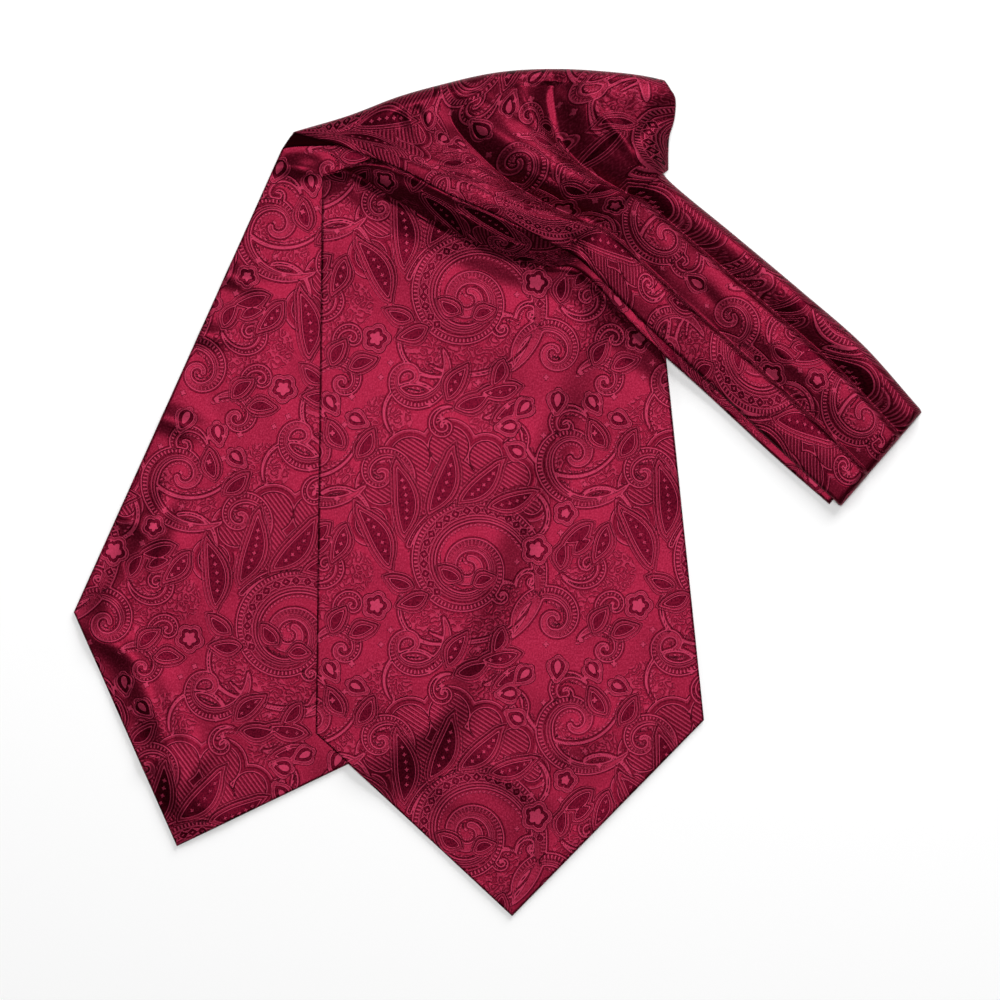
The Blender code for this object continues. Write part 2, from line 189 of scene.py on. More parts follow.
def from_border(points, joined):
    """How far each point of a grid is from the grid's nearest border, along its rows and columns,
    leaving out the end where it is joined to the next stretch of the same cloth."""
    gaps = []
    for axis in (0, 1):
        steps = np.linalg.norm(np.diff(points, axis=axis), axis=2)
        start = np.zeros_like(points[..., 0]).take([0], axis)
        run = np.concatenate([start, np.cumsum(steps, axis)], axis)
        left = run.take([-1], axis) - run
        gaps.append(left if axis == 0 and joined == "first" else run)
        gaps.append(run if axis == 0 and joined == "last" else left)
    return np.min(gaps, axis=0)


def grid_faces(number):
    """Four-sided faces between the neighbouring points of a grid."""
    corners = (number[:-1, :-1], number[:-1, 1:], number[1:, 1:], number[1:, :-1])
    return np.stack([corner.ravel() for corner in corners], axis=1)


def edge_faces(number, below, rows_kept, columns_kept):
    """Closes the edge between the fine face and the hidden one, which has fewer points."""
    rows, columns = number.shape
    r = np.concatenate([
        np.zeros(columns - 1), np.arange(rows - 1),
        np.full(columns - 1, rows - 1), np.arange(rows - 1, 0, -1),
    ]).astype(int)
    c = np.concatenate([
        np.arange(columns - 1), np.full(rows - 1, columns - 1),
        np.arange(columns - 1, 0, -1), np.zeros(rows - 1),
    ]).astype(int)
    fine = number[r, c]
    place_row = {row: k for k, row in enumerate(rows_kept)}
    place_column = {column: k for k, column in enumerate(columns_kept)}
    kept = [i for i in range(len(r)) if r[i] in place_row and c[i] in place_column]
    coarse = [below[place_row[r[i]], place_column[c[i]]] for i in kept]
    faces = []
    for k, first in enumerate(kept):
        last = kept[(k + 1) % len(kept)]
        if last <= first:
            last += len(r)
        here = coarse[k]
        there = coarse[(k + 1) % len(kept)]
        middle = (first + last) // 2
        for i in range(first, last):
            hidden = here if i < middle else there
            faces.append((fine[(i + 1) % len(r)], fine[i % len(r)], hidden))
        faces.append((fine[middle % len(r)], here, there))
    return faces


def kept_places(count):
    """Which rows or columns the hidden face keeps, always with the first and last."""
    return sorted(set(range(0, count - 1, HIDDEN_STEP)) | {count - 1})


# The figure is woven in, in repeats of 108 by 110 mm: great scrolls with echoing lines, fronds of
# dark leaves, buds, rosettes and scalloped clouds, drawn here as sizes in millimetres on one repeat
REPEAT = np.array([108.0, 110.0])
SCROLL_COLUMNS = ("x", "y", "radius", "growth", "start", "end", "hand", "wide", "lines")
SCROLLS = (
    (44.0, 46.0, 3.6, 0.150, 100.0, 960.0, -1.0, 5.6, 4.0),
    (88.0, 92.0, 2.6, 0.270, -150.0, 330.0, 1.0, 3.4, 3.0),
    (79.0, 24.0, 2.0, 0.230, 20.0, 560.0, 1.0, 3.2, 3.0),
    (8.0, 84.0, 1.6, 0.250, 60.0, 560.0, -1.0, 2.2, 2.0),
    (20.0, 14.0, 2.2, 0.260, -60.0, 400.0, 1.0, 3.0, 3.0),
    (93.0, 47.0, 1.3, 0.250, 200.0, 700.0, -1.0, 1.7, 1.0),
    (62.0, 97.0, 1.0, 0.270, 0.0, 480.0, 1.0, 1.2, 1.0),
    (104.0, 30.0, 1.0, 0.260, 120.0, 620.0, 1.0, 1.2, 1.0),
    (58.0, 34.0, 0.8, 0.260, 30.0, 500.0, -1.0, 0.9, 1.0),
    (30.0, 58.0, 0.8, 0.240, 200.0, 620.0, 1.0, 0.8, 1.0),
    (70.0, 40.0, 0.8, 0.260, 90.0, 560.0, 1.0, 0.9, 1.0),
    (34.0, 104.0, 0.9, 0.260, -20.0, 470.0, -1.0, 1.0, 1.0),
    (86.0, 104.0, 20.0, 0.030, 185.0, 350.0, 1.0, 0.4, 1.0),
    (100.0, 12.0, 1.2, 0.250, 0.0, 520.0, 1.0, 2.0, 2.0),
    (52.0, 6.0, 1.2, 0.250, 180.0, 640.0, -1.0, 1.8, 2.0),
    (84.0, 104.0, 1.4, 0.240, 60.0, 520.0, -1.0, 1.6, 1.0),
    (30.0, 30.0, 14.0, 0.060, 150.0, 300.0, 1.0, 0.5, 1.0),
    (44.0, 46.0, 26.0, 0.020, 20.0, 118.0, -1.0, 0.9, 1.0),
    (44.0, 46.0, 30.0, 0.024, 190.0, 300.0, -1.0, 0.7, 1.0),
    (66.0, 66.0, 10.0, 0.080, 300.0, 470.0, 1.0, 0.5, 1.0),
    (22.0, 110.0, 11.0, 0.060, 40.0, 220.0, 1.0, 0.5, 1.0),
    (98.0, 66.0, 12.0, 0.060, 60.0, 210.0, -1.0, 0.5, 1.0),
)
LEAF_COLUMNS = ("x", "y", "length", "width", "angle", "bend")
LEAVES = (
    (11.0, 47.0, 25.0, 6.4, 118.0, -0.7),
    (17.5, 60.0, 27.0, 6.8, 96.0, -0.7),
    (28.5, 69.5, 25.0, 6.6, 70.0, -0.7),
    (41.5, 73.5, 21.0, 5.6, 44.0, -0.6),
    (54.0, 71.0, 17.0, 4.6, 18.0, -0.5),
    (40.0, 41.0, 8.0, 3.4, 150.0, 0.4),
    (47.0, 39.0, 7.0, 3.0, 20.0, 0.4),
    (101.0, 62.0, 13.0, 4.2, 250.0, 0.4),
    (94.0, 63.0, 12.0, 4.0, 215.0, 0.4),
    (64.0, 10.0, 14.0, 4.2, 190.0, 0.4),
    (66.0, 4.0, 12.0, 3.8, 215.0, 0.3),
    (36.0, 6.0, 13.0, 4.4, 60.0, 0.4),
    (40.0, 2.0, 12.0, 4.0, 20.0, -0.4),
    (96.0, 20.0, 9.0, 3.6, 60.0, 0.4),
    (104.0, 18.0, 9.0, 3.4, 20.0, 0.4),
    (100.0, 96.0, 10.0, 3.8, 120.0, 0.4),
    (107.0, 92.0, 10.0, 3.6, 60.0, -0.4),
    (58.0, 20.0, 9.0, 3.2, 250.0, 0.4),
    (26.0, 34.0, 10.0, 3.6, 200.0, 0.4),
    (20.0, 38.0, 9.0, 3.2, 160.0, 0.4),
    (82.0, 46.0, 9.0, 3.4, 80.0, 0.4),
    (88.0, 52.0, 8.0, 3.0, 40.0, 0.4),
)
BUD_COLUMNS = ("x", "y", "length", "width", "angle")
BUDS = (
    (66.5, 92.0, 7.5, 5.6, 150.0),
    (64.0, 104.0, 8.0, 5.8, 185.0),
    (69.5, 114.0, 8.0, 5.8, 225.0),
    (81.0, 118.0, 8.5, 6.0, 265.0),
    (93.5, 116.5, 8.0, 5.6, 300.0),
    (103.0, 108.0, 7.5, 5.4, 335.0),
)
ROSETTE_COLUMNS = ("x", "y", "radius")
ROSETTES = ((72.0, 53.0, 4.6), (6.0, 30.0, 4.2), (84.0, 68.0, 3.4))
CLOUD_COLUMNS = ("x", "y", "radius")
CLOUDS = (
    (4.0, 64.0, 9.5), (8.0, 79.0, 10.5), (20.0, 91.0, 11.5), (36.0, 95.5, 11.5), (51.0, 91.0, 10.0),
    (63.0, 83.0, 9.5), (70.0, 72.0, 7.5), (22.0, 76.0, 13.0), (38.0, 82.0, 12.0), (50.0, 78.0, 12.0),
)
PATCH_COLUMNS = ("x", "y", "radius")
PATCHES = (
    (30.0, 24.0, 12.0), (44.0, 18.0, 10.0), (60.0, 28.0, 9.0), (90.0, 36.0, 12.0), (104.0, 44.0, 9.0),
    (78.0, 84.0, 9.0), (98.0, 82.0, 8.0), (52.0, 108.0, 8.0), (10.0, 106.0, 11.0),
)
MARK_COLUMNS = ("x", "y", "radius")
MARKS = (
    (86.0, 76.0, 1.6), (57.0, 104.0, 1.5), (76.0, 124.0, 1.4), (90.0, 126.0, 1.4), (104.0, 116.0, 1.5),
    (60.0, 112.0, 1.5), (28.0, 3.0, 1.5), (33.0, -3.0, 1.4), (48.0, 12.0, 1.4), (82.0, 60.0, 1.5),
    (76.0, 62.0, 1.4), (70.0, 62.0, 1.4), (96.0, 101.0, 1.4), (101.0, 104.5, 1.4), (92.0, 110.0, 1.4),
    (75.0, 100.0, 1.4), (79.0, 110.0, 1.3), (98.0, 113.0, 1.3), (12.0, 20.0, 1.4), (8.0, 14.0, 1.3),
    (64.0, 48.0, 1.3), (98.0, 74.0, 1.4), (92.0, 80.0, 1.3),
)
LEAF_DOTS = 4.2  # between the small light flowers along a leaf
SCROLL_STEP = 0.8  # between two points of a scroll's middle line
CHAIN = {"first": 0.42, "last": 0.86, "step": 4.4, "half": 1.9}  # dark lozenges along the great scroll
FAR = 99.0


def wrapped(points, middle):
    """Places relative to the nearest repeat of a motif."""
    return (points - np.asarray(middle) + REPEAT / 2.0) % REPEAT - REPEAT / 2.0


def turned(points, angle):
    """Places in a frame turned by an angle in degrees."""
    turn = np.radians(angle)
    along = points[:, 0] * np.cos(turn) + points[:, 1] * np.sin(turn)
    across = points[:, 1] * np.cos(turn) - points[:, 0] * np.sin(turn)
    return along, across


def motif_points(points, motif):
    """Places along and across a motif that starts at its x and y and runs at its angle."""
    reach = motif["length"] / 2.0
    turn = np.radians(motif["angle"])
    way = np.array([np.cos(turn), np.sin(turn)])
    along, across = turned(wrapped(points, np.array([motif["x"], motif["y"]]) + way * reach), motif["angle"])
    return along + reach, across


def scroll_line(scroll):
    """Points along a scroll's middle line: a spiral that opens evenly, with its half width."""
    turned_by = np.radians(scroll["end"] - scroll["start"])
    reach = scroll["radius"] * np.expm1(scroll["growth"] * turned_by)
    stops = np.linspace(0.0, reach, int(reach / scroll["growth"] / SCROLL_STEP))
    angle = np.radians(scroll["start"]) + np.log1p(stops / scroll["radius"]) / scroll["growth"]
    radius = scroll["radius"] + stops
    x = scroll["x"] + radius * np.cos(angle) * scroll["hand"]
    y = scroll["y"] + radius * np.sin(angle)
    run = np.stack([np.gradient(x), np.gradient(y)], axis=1)
    step = np.linalg.norm(run, axis=1)
    length = np.cumsum(step)
    taper = np.clip((1.0 - length / length[-1]) / 0.5, 0.0, 1.0) ** 0.6
    half = np.minimum(0.24 * radius + 0.2, scroll["wide"]) * taper + 0.25
    side = np.full(len(x), scroll["hand"])
    lines = np.full(len(x), scroll["lines"])
    return np.column_stack([x, y, run / step[:, None], length, half, side, lines])


def scroll_fields(points):
    """Distance out from the nearest scroll's edge, length along it and side, and the echo lines in it:
    how many have been passed from the edge in, and how far apart they are."""
    line = np.concatenate([scroll_line(dict(zip(SCROLL_COLUMNS, row))) for row in SCROLLS])
    copies = []
    for i in (-1, 0, 1):
        for j in (-1, 0, 1):
            copy = line.copy()
            copy[:, :2] += REPEAT * (i, j)
            copies.append(copy)
    line = np.concatenate(copies)
    margin = 18.0
    near = np.all((line[:, :2] > -margin) & (line[:, :2] < REPEAT + margin), axis=1)
    line = line[near]
    places = (points % REPEAT).astype(np.float32)
    knots = line[:, :2].astype(np.float32)
    half = line[:, 5].astype(np.float32)
    squares = (knots ** 2).sum(axis=1)
    nearest = np.zeros(len(places), int)
    batch = 8000
    for k in range(0, len(places), batch):
        some = places[k:k + batch]
        apart = squares - 2.0 * some @ knots.T + (some ** 2).sum(axis=1)[:, None]
        nearest[k:k + batch] = np.argmin(np.sqrt(np.maximum(apart, 0.0)) - half, axis=1)
    at = line[nearest]
    off = points % REPEAT - at[:, :2]
    across = at[:, 2] * off[:, 1] - at[:, 3] * off[:, 0]
    ahead = (off * at[:, 2:4]).sum(axis=1)
    beside = np.abs(ahead) < 0.7 * SCROLL_STEP
    distance = np.where(beside, np.abs(across), np.linalg.norm(off, axis=1))
    along = at[:, 4] + ahead
    passed = (1.0 - distance / at[:, 5]) * at[:, 7]
    edge = np.column_stack([distance - at[:, 5], along, np.sign(across) * at[:, 6]])
    return edge, np.column_stack([passed, at[:, 5] / at[:, 7], np.zeros(len(at))])


def chain_places():
    """Middle and way of each lozenge of the chain that follows the great scroll."""
    line = scroll_line(dict(zip(SCROLL_COLUMNS, SCROLLS[0])))
    whole = line[-1, 4]
    stops = np.arange(whole * CHAIN["first"], whole * CHAIN["last"], CHAIN["step"])
    return line[np.searchsorted(line[:, 4], stops)]


def figure_fields(cloth):
    """The woven figure's fields at places on the cloth, in millimetres."""
    points = cloth.reshape(-1, 2)
    leaf = np.full(len(points), FAR)
    bud = np.full(len(points), FAR)
    cloud = np.full(len(points), FAR)
    patch = np.full(len(points), FAR)
    chain = np.full(len(points), FAR)
    mark = np.full((len(points), 3), FAR)

    def add_mark(off, radius):
        size = np.hypot(off[0], off[1]) / radius
        nearer = size < mark[:, 2]
        mark[nearer] = np.column_stack([off[0], off[1], size])[nearer]

    for row in LEAVES:
        motif = dict(zip(LEAF_COLUMNS, row))
        along, across = motif_points(points, motif)
        share = along / motif["length"]
        bow = np.maximum(4.0 * share * (1.0 - share), -6.0)
        middle = motif["bend"] * np.maximum(bow, 0.0)
        full = bow * np.clip(1.2 - 0.4 * share, 0.8, 1.2)
        half = motif["width"] / 2.0
        leaf = np.minimum(leaf, (np.abs(across / half - middle) - full) * half * 0.9)
        dots = int(motif["length"] / LEAF_DOTS)
        if dots > 2:
            for stop in np.linspace(0.22, 0.80, dots):
                bent = motif["bend"] * 4.0 * stop * (1.0 - stop) * half
                add_mark((along - stop * motif["length"], across - bent), 1.0)
    for row in BUDS:
        motif = dict(zip(BUD_COLUMNS, row))
        along, across = motif_points(points, motif)
        share = np.clip(along / motif["length"], 0.0, 1.0)
        side = np.abs(across) - 1.3 * np.sqrt(share) * (1.0 - share) * motif["width"]
        past = np.maximum(np.maximum(-along, along - motif["length"]), 0.0)
        bud = np.minimum(bud, np.where(past > 0.0, np.hypot(np.maximum(side, 0.0), past), side))
    for row in ROSETTES:
        motif = dict(zip(ROSETTE_COLUMNS, row))
        off = wrapped(points, (motif["x"], motif["y"]))
        petals = 0.78 + 0.30 * np.abs(np.cos(2.5 * np.arctan2(off[:, 1], off[:, 0])))
        bud = np.minimum(bud, np.linalg.norm(off, axis=1) - motif["radius"] * petals)
    for row in CLOUDS:
        motif = dict(zip(CLOUD_COLUMNS, row))
        off = wrapped(points, (motif["x"], motif["y"]))
        cloud = np.minimum(cloud, np.linalg.norm(off, axis=1) - motif["radius"])
    for row in PATCHES:
        motif = dict(zip(PATCH_COLUMNS, row))
        off = wrapped(points, (motif["x"], motif["y"]))
        patch = np.minimum(patch, np.linalg.norm(off, axis=1) - motif["radius"])
    for row in MARKS:
        motif = dict(zip(MARK_COLUMNS, row))
        add_mark(wrapped(points, (motif["x"], motif["y"])).T, motif["radius"])
    for lozenge in chain_places():
        off = wrapped(points, lozenge[:2])
        along = off @ lozenge[2:4]
        across = off[:, 1] * lozenge[2] - off[:, 0] * lozenge[3]
        chain = np.minimum(chain, np.abs(along) + np.abs(across) - CHAIN["half"])
        add_mark((along, across), 0.8)
    scroll, echo = scroll_fields(points)
    return {
        "cloth": np.column_stack([points, np.zeros(len(points))]),
        "scroll": scroll,
        "echo": echo,
        "shapes": np.column_stack([leaf, bud, cloud]),
        "fills": np.column_stack([chain, patch, np.zeros(len(points))]),
        "mark": mark,
    }


def cloth_piece(name, outer, inner, cloth, joined="none"):
    """A closed piece of cloth between two grids of points that have the same rows and columns: outer is
    the face that shows, inner the hidden one, and cloth the places on the cloth for the figure. Its
    first or last row isn't rounded where it is joined to more of the same cloth."""
    rows, columns = outer.shape[:2]
    rows_kept = kept_places(rows)
    columns_kept = kept_places(columns)
    pulled = np.clip(1.0 - from_border(outer, joined) / EDGE_ROUND, 0.0, 1.0)
    drawn = 1.0 - np.sqrt(1.0 - pulled ** 2)
    shown = blend(outer, inner, EDGE_SHARE * drawn[..., None])
    hidden = inner[np.ix_(rows_kept, columns_kept)]
    over = outer[np.ix_(rows_kept, columns_kept)]
    border = np.zeros(hidden.shape[:2] + (1,))
    border[[0, -1]] = 1.0
    border[:, [0, -1]] = 1.0
    hidden = blend(hidden, over, EDGE_SHARE * border)
    number = np.arange(rows * columns).reshape(rows, columns)
    below = np.arange(hidden[..., 0].size).reshape(hidden.shape[:2]) + rows * columns
    faces = grid_faces(number).tolist() + grid_faces(below)[:, ::-1].tolist()
    faces += [tuple(int(i) for i in face) for face in edge_faces(number, below, rows_kept, columns_kept)]
    points = np.concatenate([shown.reshape(-1, 3), hidden.reshape(-1, 3)])
    points = (points - HEAP_MIDDLE) * MM
    mesh = bpy.data.meshes.new(name)
    mesh.from_pydata(points.tolist(), [], faces)
    mesh.update()
    for field, values in figure_fields(cloth).items():
        plain = np.full((hidden[..., 0].size, 3), FAR)
        attribute = mesh.attributes.new(name=field, type="FLOAT_VECTOR", domain="POINT")
        attribute.data.foreach_set("vector", np.concatenate([values, plain]).astype(np.float32).ravel())
    mesh.shade_smooth()
    piece = bpy.data.objects.new(name, mesh)
    bpy.context.scene.collection.objects.link(piece)
    return piece


def on_table(xy):
    """Underside of what lies flat on the table."""
    return np.zeros(xy.shape[:-1])


def blade(name, sizes, top_line, underside, relief, grain, figure, joined="none"):
    """A pointed blade: columns run from the two sides of its point up to its top line."""
    width = 160.0
    length = 250.0
    columns = even_shares(int(width / FINE / 2.0) * 2 + 1, width)
    rows = even_shares(int(length / FINE), length)
    corners = np.array([sizes["left_corner"], sizes["tip"], sizes["right_corner"]])
    start = np.stack([np.interp(columns, (0.0, 0.5, 1.0), corners[:, k]) for k in (0, 1)], axis=1)
    xy = blend(start[None], top_line(columns)[None], rows[:, None, None])
    low = underside(xy)
    loose = smooth_step((1.0 - rows) / LEVEL_SHARE)[:, None] if joined == "last" else 1.0
    top = low + PLY + relief(xy) * loose
    outer = np.concatenate([xy, top[..., None]], axis=2)
    inner = np.concatenate([xy, low[..., None]], axis=2)
    cos, sin = np.cos(grain), np.sin(grain)
    x = (xy[..., 0] - sizes["tip"][0]) * cos + (xy[..., 1] - sizes["tip"][1]) * sin
    y = (xy[..., 1] - sizes["tip"][1]) * cos - (xy[..., 0] - sizes["tip"][0]) * sin
    return cloth_piece(name, outer, inner, np.stack([x, y], axis=-1) + figure, joined)


def srgb(code):
    """A linear colour from an sRGB hex code."""
    parts = [int(code[k:k + 2], 16) / 255.0 for k in (1, 3, 5)]
    return tuple(p / 12.92 if p <= 0.04045 else ((p + 0.055) / 1.055) ** 2.4 for p in parts) + (1.0,)


def add_node(tree, kind, inputs=None, **settings):
    """Adds a node with its settings, and links or sets its inputs."""
    node = tree.nodes.new(kind)
    for key, value in settings.items():
        setattr(node, key, value)
    for socket, value in (inputs or {}).items():
        if isinstance(value, bpy.types.NodeSocket):
            tree.links.new(value, node.inputs[socket])
        else:
            node.inputs[socket].default_value = value
    return node


def woven_line(tree, field, stops):
    """How a motif is drawn at each distance from its edge: stops are the distance, how light the weave is there,
    where the dark stops beside a bright outline are partly painted shade, and how far it covers what lies under it."""
    low, high = stops[0][0], stops[-1][0]
    scaled = add_node(tree, "ShaderNodeMapRange", {0: field, 1: low, 2: high}, clamp=True)
    ramp = add_node(tree, "ShaderNodeValToRGB", {0: scaled.outputs[0]})
    elements = ramp.color_ramp.elements
    for k, (place, light, cover) in enumerate(stops):
        share = (place - low) / (high - low)
        if k == 0:
            element = elements[0]
        elif k == len(stops) - 1:
            element = elements[len(elements) - 1]
        else:
            element = elements.new(share)
        element.position = share
        element.color = (light, light, light, cover)
    return ramp


# Lightness of the weave, from 0 in the darkest fill to 1 in the brightest line. The dark level is partly dark woven
# lines and partly painted shade, the shadow of a raised bright outline painted into the colour beside it
FILL = 0.12
# Dark woven lines, and painted shade: the dark band laid outside each bright raised outline stands for its shadow
DARK_WEAVE_AND_SHADE = 0.22
GROUND = 0.46
BODY = 0.54
BRIGHT = 0.90
LEAF_WEAVE = (
    (-0.5, FILL, 1.0), (-0.1, FILL, 1.0), (0.05, BRIGHT, 1.0), (0.35, BRIGHT, 1.0), (0.5, DARK_WEAVE_AND_SHADE, 1.0),
    (0.75, GROUND, 1.0), (1.1, GROUND, 1.0), (1.25, BRIGHT, 1.0), (1.5, BRIGHT, 1.0), (1.65, DARK_WEAVE_AND_SHADE, 1.0),
    (1.9, DARK_WEAVE_AND_SHADE, 0.6), (2.2, GROUND, 0.5), (2.4, BRIGHT, 0.6), (2.65, BRIGHT, 0.6), (2.8, DARK_WEAVE_AND_SHADE, 0.6),
    (3.1, DARK_WEAVE_AND_SHADE, 0.0),
)
BUD_WEAVE = (
    (-1.9, BRIGHT, 1.0), (-1.6, BRIGHT, 1.0), (-1.4, FILL, 1.0), (-0.15, FILL, 1.0), (0.05, BRIGHT, 1.0),
    (0.4, BRIGHT, 1.0), (0.6, BODY, 1.0), (1.1, BODY, 1.0), (1.3, BRIGHT, 0.9), (1.6, BRIGHT, 0.9),
    (1.8, DARK_WEAVE_AND_SHADE, 0.8), (2.1, DARK_WEAVE_AND_SHADE, 0.0),
)
CLOUD_WEAVE = (
    (-3.6, BODY, 1.0), (-3.4, DARK_WEAVE_AND_SHADE, 1.0), (-3.15, BRIGHT, 1.0), (-2.8, BRIGHT, 1.0), (-2.6, DARK_WEAVE_AND_SHADE, 1.0),
    (-1.6, DARK_WEAVE_AND_SHADE, 1.0), (-0.9, BODY, 1.0), (-0.6, BODY, 1.0), (-0.45, BRIGHT, 1.0), (0.0, BRIGHT, 1.0),
    (0.2, DARK_WEAVE_AND_SHADE, 0.9), (0.5, DARK_WEAVE_AND_SHADE, 0.0),
)
# Each scroll's bright outline has a band of painted shade just outside it
SCROLL_WEAVE = (
    (-0.65, BRIGHT, 0.0), (-0.45, BRIGHT, 1.0), (0.0, BRIGHT, 1.0), (0.15, DARK_WEAVE_AND_SHADE, 1.0),
    (0.5, DARK_WEAVE_AND_SHADE, 1.0), (0.75, DARK_WEAVE_AND_SHADE, 0.0),
)
ECHO_WEAVE = (
    (0.0, BRIGHT, 1.0), (0.22, BRIGHT, 1.0), (0.34, BODY, 1.0), (0.55, BODY, 1.0), (0.68, DARK_WEAVE_AND_SHADE, 1.0),
    (0.9, DARK_WEAVE_AND_SHADE, 1.0), (1.0, BRIGHT, 1.0),
)
ROPE_WEAVE = (
    (0.75, BRIGHT, 0.0), (0.9, BRIGHT, 1.0), (1.7, BRIGHT, 1.0), (1.9, BRIGHT, 0.0),
)
CHAIN_WEAVE = (
    (-1.2, FILL, 1.0), (-0.1, FILL, 1.0), (0.1, BRIGHT, 1.0), (0.4, BRIGHT, 1.0), (0.6, BRIGHT, 0.0),
)
MARK_WEAVE = ((0.0, BRIGHT, 1.0), (0.85, BRIGHT, 1.0), (1.05, BRIGHT, 0.0))
PATCH_WEAVE = ((-2.5, BODY, 1.0), (-0.3, BODY, 1.0), (0.3, BODY, 0.0))
HATCH_WAY = (2.2, 3.4, 0.0)  # radians for each millimetre, so the hatching repeats every 1.5 mm
COMB_WEAVE = (
    (-2.5, DARK_WEAVE_AND_SHADE, 0.0), (-2.3, DARK_WEAVE_AND_SHADE, 1.0), (-0.9, DARK_WEAVE_AND_SHADE, 1.0), (-0.7, DARK_WEAVE_AND_SHADE, 0.0),
)
COMB_TURN = 4.6  # radians for each millimetre along a scroll, for the fine teeth inside its outer edge
ROPE_TURN = 2.6  # radians for each millimetre along a scroll
SLUB = (1.9, 1.2)  # threads show as flecks this many times a millimetre across and along


